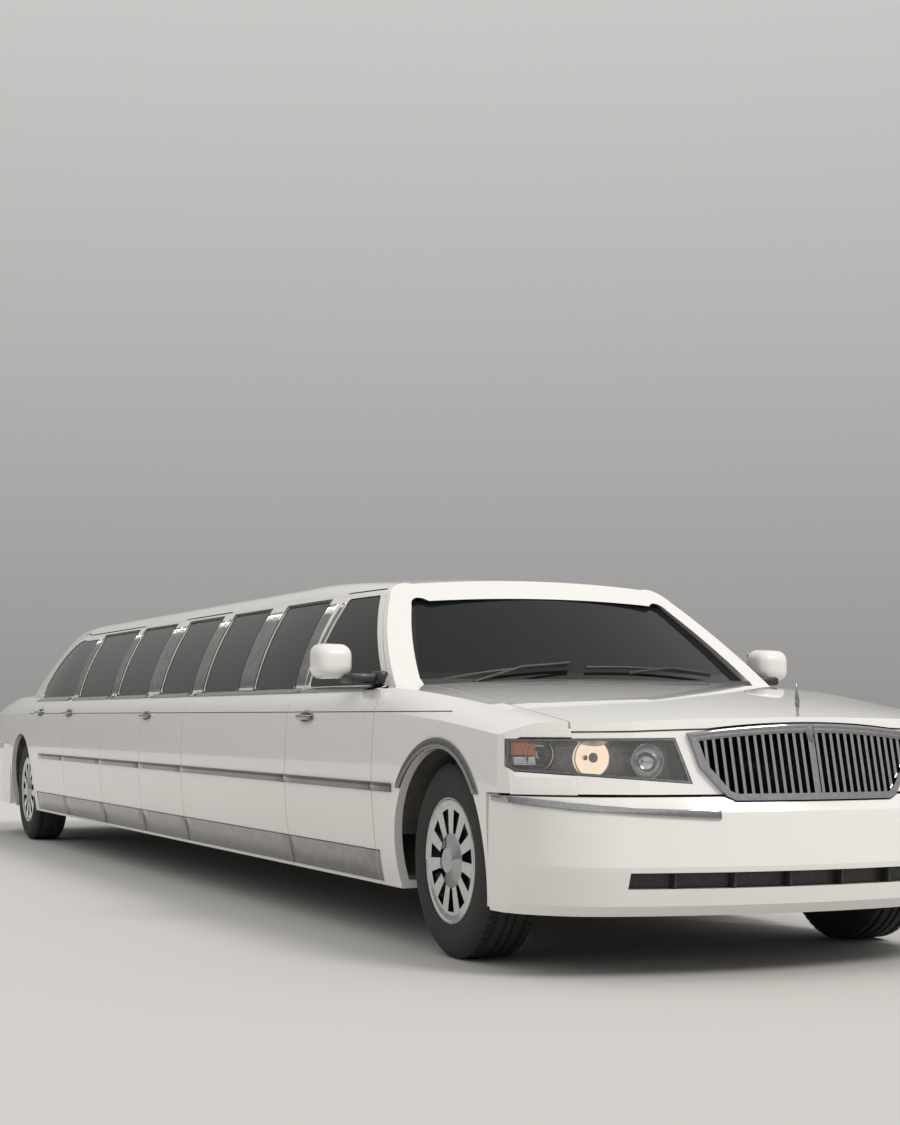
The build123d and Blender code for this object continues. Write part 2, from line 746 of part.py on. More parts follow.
# Doors. Columns: name, side (left is 1 and right is -1), x of the hinged edge from the front
# axle, outline, window outline.
DOORS = [
    ("front_door_right", -1, FRONT_DOOR[0], front_door_outline(), front_window_outline()),
    ("front_door_left", 1, FRONT_DOOR[0], front_door_outline(), front_window_outline()),
    ("fifth_door_right", -1, FIFTH_DOOR[0], door_outline(*FIFTH_DOOR),
     window_outline(*WINDOWS["c"])),
    ("club_door_right", -1, CLUB_DOOR[0], door_outline(*CLUB_DOOR), window_outline(*WINDOWS["e"])),
    ("rear_door_right", -1, CLUB_DOOR[1], rear_door_outline(), rear_window_outline()),
    ("rear_door_left", 1, CLUB_DOOR[1], rear_door_outline(), rear_window_outline()),
]
FIXED_WINDOWS = {-1: "abd", 1: "abcde"}
WALL_RANGE = (400, CAR_WIDTH / 2)


def lower_wall(inner_y, inset=0.0):
    """Cuts the side walls of the body, from an inner plane outwards and up to the belt."""
    with BuildPart() as wall:
        add(loft_front(inset))
        add(straight_middle(inset))
        add(loft_rear(inset))
        add(box((-REACH, REACH), (-inner_y, inner_y), BODY_HEIGHT), mode=Mode.SUBTRACT)
        add(box((-REACH, REACH), CAR_SPAN, (BELT_Z - max(inset, 0), ROOF_Z)), mode=Mode.SUBTRACT)
    return wall.part


door_wall = lower_wall(DOOR_INNER_Y)
side_wall = lower_wall(SIDE_WALL_Y)
flange_space = lower_wall(SIDE_WALL_Y, FLANGE_THICK)
sill_y = ROCKER_Y - FLANGE_THICK
flange_space += box((-REACH, REACH), (-sill_y, sill_y), (0, SILL_Z + 2 * FLANGE_THICK))

# Doors and their windows. Inside its outer flange a door is a step smaller all round.
for name, side, hinge_x, outline, glass_outline in DOORS:
    inside = side_prism(outline, side, WALL_RANGE, grow=-SHUT_GAP / 2)
    rim = inside - side_prism(outline, side, WALL_RANGE, grow=-SHUT_GAP / 2 - DOOR_STEP)
    with BuildPart() as door:
        add(door_wall & inside)
        add(roof_shell & inside)
        add(rim & flange_space, mode=Mode.SUBTRACT)
        add(rim & roof_flange, mode=Mode.SUBTRACT)
        add(side_prism(glass_outline, side, WALL_RANGE, corner=WINDOW_CORNER),
            mode=Mode.SUBTRACT)
    finish(door, name)
    with BuildPart() as pane:
        add(glass_shell)
        add(side_prism(glass_outline, side, WALL_RANGE, grow=-SEAT_CLEARANCE,
                       corner=WINDOW_CORNER), mode=Mode.INTERSECT)
    finish(pane, name.replace("_door_", "_window_"))


def door_openings(side, reach):
    """Makes the spaces that the doors of one side need in the body."""
    with BuildPart() as openings:
        for name, door_side, hinge_x, outline, glass_outline in DOORS:
            if door_side == side:
                add(side_prism(outline, side, reach, grow=SHUT_GAP / 2))
    return openings.part


def hinge_leaves(side, door_xs):
    """Makes the hinge leaves that reach from the body to the stepped edges of its doors."""
    with BuildPart() as leaves:
        for hinge_x in door_xs:
            step_x = front(hinge_x) - SHUT_GAP / 2 - DOOR_STEP + SEAT_CLEARANCE
            for z_range in HINGE_Z:
                add(box((step_x, front(hinge_x) + HINGE_ROOT),
                        sorted((side * HINGE_Y[0], side * HINGE_Y[1])), z_range))
    return leaves.part


openings_by_side = {side: door_openings(side, WALL_RANGE) for side in (-1, 1)}

# Roof with its pillars
with BuildPart() as screen_hole:
    add(loft_roof(PILLAR_WIDTH))
    add(box((front(SCREEN_TOP_X), REACH), CAR_SPAN, (SCREEN_SILL_Z, ROOF_Z)),
        mode=Mode.INTERSECT)
with BuildPart() as backlight_hole:
    add(loft_roof(PILLAR_WIDTH))
    add(box((-REACH, rear(BACKLIGHT_TOP_X)), CAR_SPAN, (BACKLIGHT_SILL_Z, ROOF_Z)),
        mode=Mode.INTERSECT)
with BuildPart() as roof:
    add(roof_shell)
    for side, opening in openings_by_side.items():
        add(opening, mode=Mode.SUBTRACT)
        for letter in FIXED_WINDOWS[side]:
            add(side_prism(window_outline(*WINDOWS[letter]), side, WALL_RANGE,
                           corner=WINDOW_CORNER), mode=Mode.SUBTRACT)
    add(screen_hole.part, mode=Mode.SUBTRACT)
    add(backlight_hole.part, mode=Mode.SUBTRACT)
finish(roof, "roof")

# Fixed glass
with BuildPart() as side_glass:
    for side, letters in FIXED_WINDOWS.items():
        for letter in letters:
            prism = side_prism(window_outline(*WINDOWS[letter]), side, WALL_RANGE,
                               grow=-SEAT_CLEARANCE, corner=WINDOW_CORNER)
            add(glass_shell & prism)
finish(side_glass, "side_glass")

with BuildPart() as windshield:
    add(loft_roof(PILLAR_WIDTH + SEAT_CLEARANCE))
    add(screen_form(SCREEN_RADIUS, GLASS_DEPTH), mode=Mode.INTERSECT)
    add(box((front(SCREEN_TOP_X) + SEAT_CLEARANCE, REACH), CAR_SPAN,
            (SCREEN_SILL_Z + SEAT_CLEARANCE, ROOF_Z)), mode=Mode.INTERSECT)
    add(screen_form(SCREEN_RADIUS, GLASS_DEPTH + GLASS_THICK), mode=Mode.SUBTRACT)
finish(windshield, "windshield")

with BuildPart() as rear_window:
    add(loft_roof(PILLAR_WIDTH + SEAT_CLEARANCE))
    add(backlight_form(BACKLIGHT_RADIUS, GLASS_DEPTH), mode=Mode.INTERSECT)
    add(box((-REACH, rear(BACKLIGHT_TOP_X) - SEAT_CLEARANCE), CAR_SPAN,
            (BACKLIGHT_SILL_Z + SEAT_CLEARANCE, ROOF_Z)), mode=Mode.INTERSECT)
    add(backlight_form(BACKLIGHT_RADIUS, GLASS_DEPTH + GLASS_THICK), mode=Mode.SUBTRACT)
finish(rear_window, "rear_window")

# Side panels between the doors, with the post that two doors share
post_x = front(CLUB_DOOR[1])
with BuildPart() as side_panels:
    for side, opening in openings_by_side.items():
        side_range = sorted((0, side * CAR_WIDTH))
        span = box((post_x, front(FRONT_DOOR[1])), side_range, (0, BELT_Z))
        add((side_wall & span) - opening - roof_space)
        add(box((post_x - POST_WIDTH / 2, post_x + POST_WIDTH / 2),
                sorted((side * SIDE_WALL_Y, side * POST_OUTER_Y)), (SILL_Z, POST_TOP_Z)))
        add(hinge_leaves(side, [x for name, door_side, x, *outlines in DOORS
                                if door_side == side and x != FRONT_DOOR[0]]))
finish(side_panels, "side_panels")

# Rear quarter panels: a thin skin, thick beside the rear door
arches = {side: wheel_space(rear(0), REAR_ARCH_RADIUS, side, REAR_ARCH_INNER_Y)
          for side in (-1, 1)}
liner_spaces = {side: wheel_space(rear(0), REAR_ARCH_RADIUS + LINER_WALL + SEAT_CLEARANCE,
                                  side, REAR_ARCH_INNER_Y - LINER_WALL) for side in (-1, 1)}
rear_bumper_space = box((-REACH, rear(REAR_BUMPER_CUT_X) + SHUT_GAP), CAR_SPAN,
                        (0, REAR_BUMPER_SEAM_Z + SHUT_GAP))
tail_lamps_space = [front_prism(polygon([(side * y, z) for y, z in TAIL_LAMP_OUTLINE]),
                                (-REACH, rear(TAIL_LAMP_X))) for side in (-1, 1)]
with BuildPart() as quarter_panels:
    for side, opening in openings_by_side.items():
        skin_range = sorted((side * (LID_SIDE_Y + SHUT_GAP / 2), side * CAR_WIDTH))
        wall_range = sorted((side * SIDE_WALL_Y, side * CAR_WIDTH))
        skin = rear_shell & box((-REACH, rear(REAR_JAMB_X)), skin_range, BODY_HEIGHT)
        add(skin - opening)
        add((side_wall & box((rear(0), rear(REAR_JAMB_X)), wall_range, BODY_HEIGHT))
            - opening - liner_spaces[side])
        add(arches[side], mode=Mode.SUBTRACT)
    add(rear_shell & box((-REACH, rear(TAIL_LAMP_X)),
                         (-LID_SIDE_Y - SHUT_GAP, LID_SIDE_Y + SHUT_GAP),
                         (REAR_BUMPER_SEAM_Z, LID_BOTTOM_Z - SHUT_GAP / 2)))
    add(rear_bumper_space, mode=Mode.SUBTRACT)
    for lamp_space in tail_lamps_space:
        add(lamp_space, mode=Mode.SUBTRACT)
    add(roof_space, mode=Mode.SUBTRACT)
finish(quarter_panels, "quarter_panels")

# Trunk lid, with the strip of deck in front of it that carries the hinges
lid_y = (-LID_SIDE_Y + SHUT_GAP / 2, LID_SIDE_Y - SHUT_GAP / 2)
with BuildPart() as trunk_lid:
    add(rear_shell & box((-REACH, rear(LID_FRONT_X) - SHUT_GAP / 2), lid_y,
                         (LID_BOTTOM_Z + SHUT_GAP / 2, ROOF_Z)))
    for lamp_space in tail_lamps_space:
        add(lamp_space, mode=Mode.SUBTRACT)
finish(trunk_lid, "trunk_lid")

deck_x = (rear(LID_FRONT_X) + SHUT_GAP / 2, rear(DECK_FRONT_X))
with BuildPart() as rear_deck:
    add(rear_shell & box(deck_x, lid_y, (BELT_Z, ROOF_Z)))
    for side in (-1, 1):
        leaf_y = sorted((side * LID_HINGE_Y, side * (LID_HINGE_Y + LID_HINGE_WIDTH)))
        add(box((rear(LID_FRONT_X) - LID_HINGE_WIDTH, deck_x[1]), leaf_y, (LID_HINGE_Z, ROOF_Z))
            & rear_inside)
        add(box(deck_x, leaf_y, (LID_HINGE_Z, ROOF_Z)) & rear_skin)
    add(roof_space, mode=Mode.SUBTRACT)
finish(rear_deck, "rear_deck")

# Tail lamps behind the corners
with BuildPart() as tail_lamps:
    for side in (-1, 1):
        prism = front_prism(polygon([(side * y, z) for y, z in TAIL_LAMP_OUTLINE]),
                            (-REACH, rear(TAIL_LAMP_X) - SEAT_CLEARANCE), grow=-SEAT_CLEARANCE)
        add(prism & (rear_skin & tail_form()) - (rear_inside & tail_form(LAMP_THICK)))
finish(tail_lamps, "tail_lamps")

# Fenders
front_arches = {side: wheel_space(front(0), ARCH_RADIUS, side, ARCH_INNER_Y)
                for side in (-1, 1)}
front_bumper_space = box((front(BUMPER_CUT_X) - SHUT_GAP, REACH), CAR_SPAN,
                         (0, BUMPER_SEAM_Z + SHUT_GAP))
lamp_faces = {side: polygon([(side * y, z) for y, z in LAMP_OUTLINE]) for side in (-1, 1)}
lamp_spaces = {side: front_prism(face, (front(LAMP_CUT_X), REACH), grow=SEAT_CLEARANCE)
               for side, face in lamp_faces.items()}
with BuildPart() as fenders:
    for side, arch in front_arches.items():
        fender_range = sorted((side * (HOOD_SIDE_Y + SHUT_GAP / 2), side * CAR_WIDTH))
        door_range = sorted((side * SIDE_WALL_Y, side * CAR_WIDTH))
        door_x = (front(COWL_X), front(FRONT_DOOR[0]) + SHUT_GAP / 2)
        add(front_shell & box((front(COWL_X), REACH), fender_range, BODY_HEIGHT)
            - box(door_x, door_range, BODY_HEIGHT) - box(door_x, fender_range, (0, COWL_Z))
            - arch - lamp_spaces[side])
    add(front_bumper_space, mode=Mode.SUBTRACT)
    add(roof_space, mode=Mode.SUBTRACT)
finish(fenders, "fenders")

# Hood, notched round the top of the grille
grille_face = mirrored_outline(GRILLE_OUTLINE, GRILLE_CROWN_Z)
grille_notch = front_prism(grille_face, (front(0), REACH), grow=SHUT_GAP)
hood_y = (-HOOD_SIDE_Y + SHUT_GAP / 2, HOOD_SIDE_Y - SHUT_GAP / 2)
with BuildPart() as hood:
    add(front_shell & box((front(COWL_X), REACH), hood_y, (BUMPER_SEAM_Z + FENDER_WALL, ROOF_Z)))
    add(screen_form(SCREEN_FRAME_RADIUS, -SHUT_GAP), mode=Mode.SUBTRACT)
    add(grille_notch - nose_form(NOSE_WALL + SHUT_GAP), mode=Mode.SUBTRACT)
finish(hood, "hood")

# Header panel that frames the grille and the headlamps
with BuildPart() as header_panel:
    add(nose_form() - nose_form(NOSE_WALL))
    add(loft_front(FENDER_WALL + SHUT_GAP), mode=Mode.INTERSECT)
    add(box((front(LAMP_CUT_X), REACH), hood_y, (BUMPER_SEAM_Z + SHUT_GAP, ROOF_Z)),
        mode=Mode.INTERSECT)
    add(front_prism(grille_face, (front(0), REACH), grow=SEAT_CLEARANCE), mode=Mode.SUBTRACT)
    for lamp_space in lamp_spaces.values():
        add(lamp_space, mode=Mode.SUBTRACT)
finish(header_panel, "header_panel")

# Grille: a rim round a row of upright bars and a middle spine, all leaning with the nose
nose_sag = NOSE_MID_X - NOSE_PLAN[0][0]
nose_radius = (NOSE_PLAN[0][1] ** 2 + nose_sag ** 2) / (2 * nose_sag)


def grille_bar(y, width, stand):
    """Makes one leaning bar of the grille at a distance y from the middle."""
    x = front(NOSE_MID_X) - nose_radius + (nose_radius ** 2 - y ** 2) ** 0.5
    low, high = GRILLE_OUTLINE[-1][1], GRILLE_CROWN_Z
    corners = [(x - (z - PLAN_Z) * NOSE_LEAN + reach, z) for z, reach in
               ((low, stand), (high, stand), (high, -GRILLE_BAR_DEPTH), (low, -GRILLE_BAR_DEPTH))]
    return side_prism(polygon(corners), 1, (y - width / 2, y + width / 2))


with BuildPart() as grille_bars:
    add(grille_bar(0, GRILLE_SPINE_WIDTH, GRILLE_STAND))
    for side in (-1, 1):
        for i in range(GRILLE_BARS):
            add(grille_bar(side * (i + 1) * GRILLE_BAR_PITCH, GRILLE_BAR_WIDTH, GRILLE_BAR_STAND))
    add(front_prism(grille_face, (front(0), REACH), grow=1 - GRILLE_RIM), mode=Mode.INTERSECT)

with BuildPart() as grille:
    add(front_prism(grille_face, (front(0), REACH))
        & (nose_form(-GRILLE_STAND) - nose_form(NOSE_WALL)))
    add(front_prism(grille_face, (front(0), REACH), grow=-GRILLE_RIM), mode=Mode.SUBTRACT)
    add(grille_bars.part)
finish(grille, "grille")

# Headlamps with their reflector bowls, behind clear lenses
with BuildPart() as headlamps:
    for side, face in lamp_faces.items():
        add(front_prism(face, (front(LAMP_CUT_X) + SEAT_CLEARANCE, REACH))
            & (nose_form(LENS_THICK + LAMP_AIR) - nose_form(LAMP_DEPTH)))
        for y, z, radius in LAMP_BOWLS:
            bowl_x = NOSE_X - BOWL_SET_BACK * abs(y) ** 2 / HOOD_SIDE_Y ** 2
            with BuildSketch(Plane.XZ.offset(-side * y)) as bowl:
                with Locations((bowl_x, z)):
                    Circle(radius)
                    with Locations((0, -radius)):
                        Rectangle(4 * radius, 2 * radius, mode=Mode.SUBTRACT)
            revolve(bowl.sketch, axis=Axis((bowl_x, side * y, z), (1, 0, 0)), mode=Mode.SUBTRACT)
finish(headlamps, "headlamps")

with BuildPart() as headlamp_lenses:
    for side, face in lamp_faces.items():
        add(front_prism(face, (front(LAMP_CUT_X) + SEAT_CLEARANCE, REACH))
            & (nose_form() - nose_form(LENS_THICK)))
finish(headlamp_lenses, "headlamp_lenses")

# Bumpers
with BuildPart() as front_bumper:
    add(bumper_form())
    add(box((front(BUMPER_CUT_X), REACH), CAR_SPAN, BODY_HEIGHT), mode=Mode.INTERSECT)
    add(bumper_form(BUMPER_WALL) & box((0, REACH), CAR_SPAN, (0, BUMPER_SEAM_Z - BUMPER_TOP)),
        mode=Mode.SUBTRACT)
    add(bumper_form(BUMPER_FLANGE), mode=Mode.SUBTRACT)
    add(box((front(BUMPER_CUT_X), REACH), (-INTAKE_Y, INTAKE_Y), INTAKE_Z), mode=Mode.SUBTRACT)
    add(grille_notch, mode=Mode.SUBTRACT)
finish(front_bumper, "front_bumper")

with BuildPart() as rear_bumper:
    add(rear_bumper_form())
    add(box((-REACH, rear(REAR_BUMPER_CUT_X)), CAR_SPAN, BODY_HEIGHT), mode=Mode.INTERSECT)
    add(rear_bumper_form(BUMPER_WALL)
        & box((-REACH, 0), CAR_SPAN, (0, REAR_BUMPER_SEAM_Z - BUMPER_TOP)), mode=Mode.SUBTRACT)
    add(rear_bumper_form(BUMPER_FLANGE), mode=Mode.SUBTRACT)
finish(rear_bumper, "rear_bumper")

# Front structure: aprons, wheel arch liners, firewall and radiator support
apron_outline = polygon([(front(x), z) for x, z in APRON_OUTLINE])
with BuildPart() as front_structure:
    for side in (-1, 1):
        add(side_prism(apron_outline, side, (ARCH_INNER_Y - LINER_WALL, ARCH_INNER_Y)))
        liner = wheel_space(front(0), ARCH_RADIUS + LINER_WALL, side, ARCH_INNER_Y - LINER_WALL)
        add((liner - front_arches[side]) & front_inside
            & box((0, REACH), CAR_SPAN, (LINER_BOTTOM_Z, ROOF_Z)))
    add(nose_form(NOSE_WALL + SEAT_CLEARANCE), mode=Mode.INTERSECT)
    add(box((front(FIREWALL_X), front(FIREWALL_X) + LINER_WALL), (-HINGE_Y[0], HINGE_Y[0]),
            (FIREWALL_Z, COWL_Z - SEAT_CLEARANCE)))
    for side in (-1, 1):
        add(box((front(FRONT_DOOR[0]) + SHUT_GAP, front(FIREWALL_X) + PILLAR_DEPTH),
                sorted((side * SIDE_WALL_Y, side * HINGE_Y[1])), (SILL_HEIGHT[0], COWL_Z - SHUT_GAP))
            & front_inside)
        add(hinge_leaves(side, [FRONT_DOOR[0]]))
        add(box(tuple(front(x) for x in HOOD_HINGE_X),
                sorted((side * HOOD_HINGE_Y, side * (HOOD_HINGE_Y + LID_HINGE_WIDTH))),
                (COWL_Z - HINGE_ROOT * 3, ROOF_Z)) & front_inside)
    add(box((front(FIREWALL_X) - LINER_WALL, front(FIREWALL_X) + 2 * LINER_WALL),
            (-TUNNEL_Y, TUNNEL_Y), (0, TUNNEL_Z)), mode=Mode.SUBTRACT)
    for z in RADIATOR_BAR_Z:
        add(box((front(RADIATOR_X), front(RADIATOR_X) + LINER_WALL * 3),
                (-ARCH_INNER_Y, ARCH_INNER_Y), (z, z + LINER_WALL * 3)))
finish(front_structure, "front_structure")

with BuildPart() as radiator:
    add(box((front(RADIATOR_X) - RADIATOR_THICK, front(RADIATOR_X) - SEAT_CLEARANCE),
            (-RADIATOR_Y, RADIATOR_Y), (RADIATOR_BAR_Z[0], RADIATOR_BAR_Z[1])))
finish(radiator, "radiator")

# Floor: a folded sheet with sills, a shaft tunnel, rear wheel liners and the cabin's rear wall
floor_profile = [(front(x), z) for x, z in FLOOR_FRONT] + [(rear(x), z) for x, z in FLOOR_REAR]
upper_profile = [(x, z + FLOOR_THICK) for x, z in reversed(floor_profile)]
floor_plan = [(front(FIREWALL_X), FLOOR_Y)] + [(rear(x), y) for x, y in FLOOR_TAIL]
tunnel_x = (rear(TUNNEL_END_X), front(FIREWALL_X))
with BuildPart() as floor_pan:
    add(side_prism(polygon(floor_profile + upper_profile), 1, (-CAR_WIDTH, CAR_WIDTH)))
    add(box(tunnel_x, (-TUNNEL_Y, TUNNEL_Y), (FLOOR_Z, TUNNEL_Z)))
    add(box(tunnel_x, (-TUNNEL_Y + LINER_WALL, TUNNEL_Y - LINER_WALL),
            (0, TUNNEL_Z - LINER_WALL)), mode=Mode.SUBTRACT)
    with BuildSketch() as plan:
        with BuildLine():
            Polyline(*floor_plan, *[(x, -y) for x, y in reversed(floor_plan)], close=True)
        make_face()
    extrude(plan.sketch, amount=ROOF_Z, mode=Mode.INTERSECT)
    for side in (-1, 1):
        add(liner_spaces[side], mode=Mode.SUBTRACT)
        add(box((rear(SILL_END_X), front(SILL_START_X)),
                sorted((side * (FLOOR_Y - SILL_WIDTH), side * FLOOR_Y)), SILL_HEIGHT))
        liner = wheel_space(rear(0), REAR_ARCH_RADIUS + LINER_WALL, side,
                            REAR_ARCH_INNER_Y - LINER_WALL)
        add((liner - arches[side]) & rear_inside
            & box((-REACH, REACH), CAR_SPAN, (FLOOR_REAR[-1][1], ROOF_Z)))
    add(box((rear(REAR_WALL_X), rear(REAR_WALL_X) + LINER_WALL), (-REAR_WALL_Y, REAR_WALL_Y),
            (FLOOR_REAR[1][1], SHELF_Z)))
    add(box((rear(REAR_WALL_X), rear(SHELF_FRONT_X)), (-REAR_WALL_Y, REAR_WALL_Y),
            (SHELF_Z, SHELF_Z + LINER_WALL)))
finish(floor_pan, "floor_pan")

# Ladder frame: two rails drawn in plan and from the side, with crossmembers and beams
rail_plan = [(front(x), y) for x, y in RAIL_PLAN_FRONT] + [(rear(x), y) for x, y in RAIL_PLAN_REAR]
rail_side = [(front(x), z) for x, z in RAIL_SIDE_FRONT] + [(rear(x), z) for x, z in RAIL_SIDE_REAR]
rail_depth = [(x, z + RAIL_HEIGHT) for x, z in reversed(rail_side)]
cross_count = round(STRETCH / CROSS_PITCH) + 1
cross_start, cross_end = front(CROSS_FRONT_X), rear(CROSS_REAR_X)
cross_places = [cross_start + (cross_end - cross_start) * i / cross_count
                for i in range(cross_count + 1)]
with BuildPart() as frame:
    for side in (-1, 1):
        outer = [(x, side * (y + RAIL_WIDTH / 2)) for x, y in rail_plan]
        inner = [(x, side * (y - RAIL_WIDTH / 2)) for x, y in reversed(rail_plan)]
        with BuildSketch(Plane.XY) as rail_face:
            with BuildLine():
                Polyline(*outer, *inner, close=True)
            make_face()
        extrude(rail_face.sketch, amount=ROOF_Z)
    add(side_prism(polygon(rail_side + rail_depth), 1, (-CAR_WIDTH, CAR_WIDTH)),
        mode=Mode.INTERSECT)
    for x in cross_places:
        add(box((x - CROSS_WIDTH / 2, x + CROSS_WIDTH / 2), (-CROSS_Y, CROSS_Y), CROSS_HEIGHT))
        add(box((x - CROSS_WIDTH / 2, x + CROSS_WIDTH / 2), (-SADDLE_Y, SADDLE_Y),
                (CROSS_HEIGHT[0], TYRE_RADIUS)))
    add(tube((cross_end - CROSS_PITCH, 0, TYRE_RADIUS), (cross_start + CROSS_PITCH, 0, TYRE_RADIUS),
             SHAFT_RADIUS + SEAT_CLEARANCE), mode=Mode.SUBTRACT)
    add(box((front(BEAM_X) - BEAM_DEPTH, front(BEAM_X)), (-BEAM_Y, BEAM_Y), BEAM_Z))
    add(box((rear(REAR_BEAM_X), rear(REAR_BEAM_X) + BEAM_DEPTH), (-BEAM_Y, BEAM_Y), BEAM_Z))
    add(box((front(-CROSS_WIDTH), front(CROSS_WIDTH)), (-ENGINE_Y - RAIL_WIDTH, ENGINE_Y + RAIL_WIDTH),
            CRADLE_Z))
    add(box((rear(-CROSS_WIDTH / 2), rear(CROSS_WIDTH / 2)), (-SPRING_BEAM_Y, SPRING_BEAM_Y),
            (SPRING_TOP_Z, SPRING_TOP_Z + CROSS_WIDTH / 2)))
    for y in BRACKET_Y:
        brackets = box((front(BEAM_X), REACH), (y, y + BRACKET_WIDTH), BRACKET_Z)
        add(brackets & bumper_form(BUMPER_WALL + SEAT_CLEARANCE))
        brackets = box((-REACH, rear(REAR_BEAM_X)), (y, y + BRACKET_WIDTH), BRACKET_Z)
        add(brackets & rear_bumper_form(BUMPER_WALL + SEAT_CLEARANCE))
finish(frame, "frame")

# Drive: engine block, shaft, rear axle
with BuildPart() as engine_block:
    add(box((front(ENGINE_X[0]), front(ENGINE_X[1])), (-ENGINE_Y, ENGINE_Y), ENGINE_Z))
finish(engine_block, "engine_block")

with BuildPart() as driveshaft:
    add(tube((rear(DIFF_RADIUS) + SEAT_CLEARANCE, 0, TYRE_RADIUS),
             (front(ENGINE_X[0]) - SEAT_CLEARANCE, 0, TYRE_RADIUS), SHAFT_RADIUS))
finish(driveshaft, "driveshaft")

axle_end = REAR_TRACK / 2 - HUB_OFFSET
with BuildPart() as rear_axle:
    add(tube((rear(0), -axle_end, TYRE_RADIUS), (rear(0), axle_end, TYRE_RADIUS), AXLE_RADIUS))
    spindle_end = REAR_TRACK / 2 + SPINDLE_REACH
    add(tube((rear(0), -spindle_end, TYRE_RADIUS), (rear(0), spindle_end, TYRE_RADIUS),
             SPINDLE_RADIUS))
    with Locations((rear(0), 0, TYRE_RADIUS)):
        Sphere(DIFF_RADIUS)
    for side in (-1, 1):
        add(tube((rear(0), side * ARM_Y, ARM_Z), (rear(CROSS_REAR_X), side * ARM_Y, ARM_Z),
                 ARM_RADIUS))
        add(tube((rear(0), side * SPRING_Y, TYRE_RADIUS),
                 (rear(0), side * SPRING_Y, SPRING_TOP_Z - SEAT_CLEARANCE), SPRING_RADIUS))
finish(rear_axle, "rear_axle")

with BuildPart() as exhaust:
    for side in (-1, 1):
        add(tube((front(EXHAUST_X[0]), side * EXHAUST_Y, EXHAUST_Z),
                 (rear(EXHAUST_X[1]), side * EXHAUST_Y, EXHAUST_Z), EXHAUST_RADIUS))
finish(exhaust, "exhaust")

with BuildPart() as fuel_tank:
    add(box((rear(TANK_X[0]), rear(TANK_X[1])), (-TANK_Y, TANK_Y),
            (TANK_BOTTOM_Z, FLOOR_REAR[-1][1] - SEAT_CLEARANCE)))
    fillet(fuel_tank.edges().filter_by(Axis.Z), TANK_CORNER)
finish(fuel_tank, "fuel_tank")

# Front suspension: lower and upper arms with a coil, one set on each side
coil_top = TYRE_RADIUS + (ARCH_RADIUS ** 2 - COIL_RADIUS ** 2) ** 0.5 - SEAT_CLEARANCE
kingpin_y = FRONT_TRACK / 2 - KINGPIN_INSET
with BuildPart() as front_suspension:
    for side in (-1, 1):
        for spread, inner_y, z, thick in ARMS:
            with BuildSketch(Plane.XY.offset(z)) as arm:
                with BuildLine():
                    Polyline((front(-spread), side * inner_y), (front(spread), side * inner_y),
                             (front(ARM_END), side * kingpin_y), (front(-ARM_END), side * kingpin_y),
                             close=True)
                make_face()
                with Locations((front(0), side * kingpin_y)):
                    Circle(ARM_END)
                if z > TYRE_RADIUS:
                    with Locations((front(0), side * COIL_Y)):
                        Circle(COIL_RADIUS + SHUT_GAP, mode=Mode.SUBTRACT)
            extrude(arm.sketch, amount=thick)
        add(tube((front(0), side * COIL_Y, ARMS[0][2]), (front(0), side * COIL_Y, coil_top),
                 COIL_RADIUS))
finish(front_suspension, "front_suspension")

# Steering knuckles with the stub axle
knuckle_bottom = ARMS[0][2] + ARMS[0][3] + SEAT_CLEARANCE
knuckle_top = ARMS[1][2] - SEAT_CLEARANCE
for side, word in ((-1, "right"), (1, "left")):
    with BuildPart() as knuckle:
        add(tube((front(0), side * kingpin_y, knuckle_bottom),
                 (front(0), side * kingpin_y, knuckle_top), ARM_END))
        add(tube((front(0), side * (kingpin_y - ARM_END), TYRE_RADIUS),
                 (front(0), side * (FRONT_TRACK / 2 + SPINDLE_REACH), TYRE_RADIUS),
                 SPINDLE_RADIUS))
    finish(knuckle, f"steering_knuckle_{word}")

# Wheels: a tyre and a spoked rim with its brake disc


def wheel_plane(place_x, side, centre_y):
    """Places a wheel's profile: x is the distance from the axle and y points outwards."""
    origin = (place_x, side * centre_y, TYRE_RADIUS)
    return Plane(origin=origin, x_dir=(1, 0, 0), z_dir=(0, 0, side))


def make_tyre(place_x, side, centre_y):
    """Revolves a tyre with bulging walls and a nearly flat tread."""
    half = TYRE_WIDTH / 2
    lip_top = RIM_RADIUS + RIM_LIP + SEAT_CLEARANCE
    with BuildPart() as tyre:
        with BuildSketch(wheel_plane(place_x, side, centre_y)):
            with BuildLine():
                Polyline((lip_top, -RIM_HALF), (BEAD_RADIUS, -RIM_HALF),
                         (BEAD_RADIUS, RIM_HALF), (lip_top, RIM_HALF))
                ThreePointArc((lip_top, RIM_HALF), (BULGE_RADIUS, half),
                              (SHOULDER_RADIUS, TREAD_HALF))
                ThreePointArc((SHOULDER_RADIUS, TREAD_HALF), (TYRE_RADIUS, 0),
                              (SHOULDER_RADIUS, -TREAD_HALF))
                ThreePointArc((SHOULDER_RADIUS, -TREAD_HALF), (BULGE_RADIUS, -half),
                              (lip_top, -RIM_HALF))
            make_face()
        revolve(axis=Axis((place_x, side * centre_y, TYRE_RADIUS), (0, 1, 0)))
    return tyre


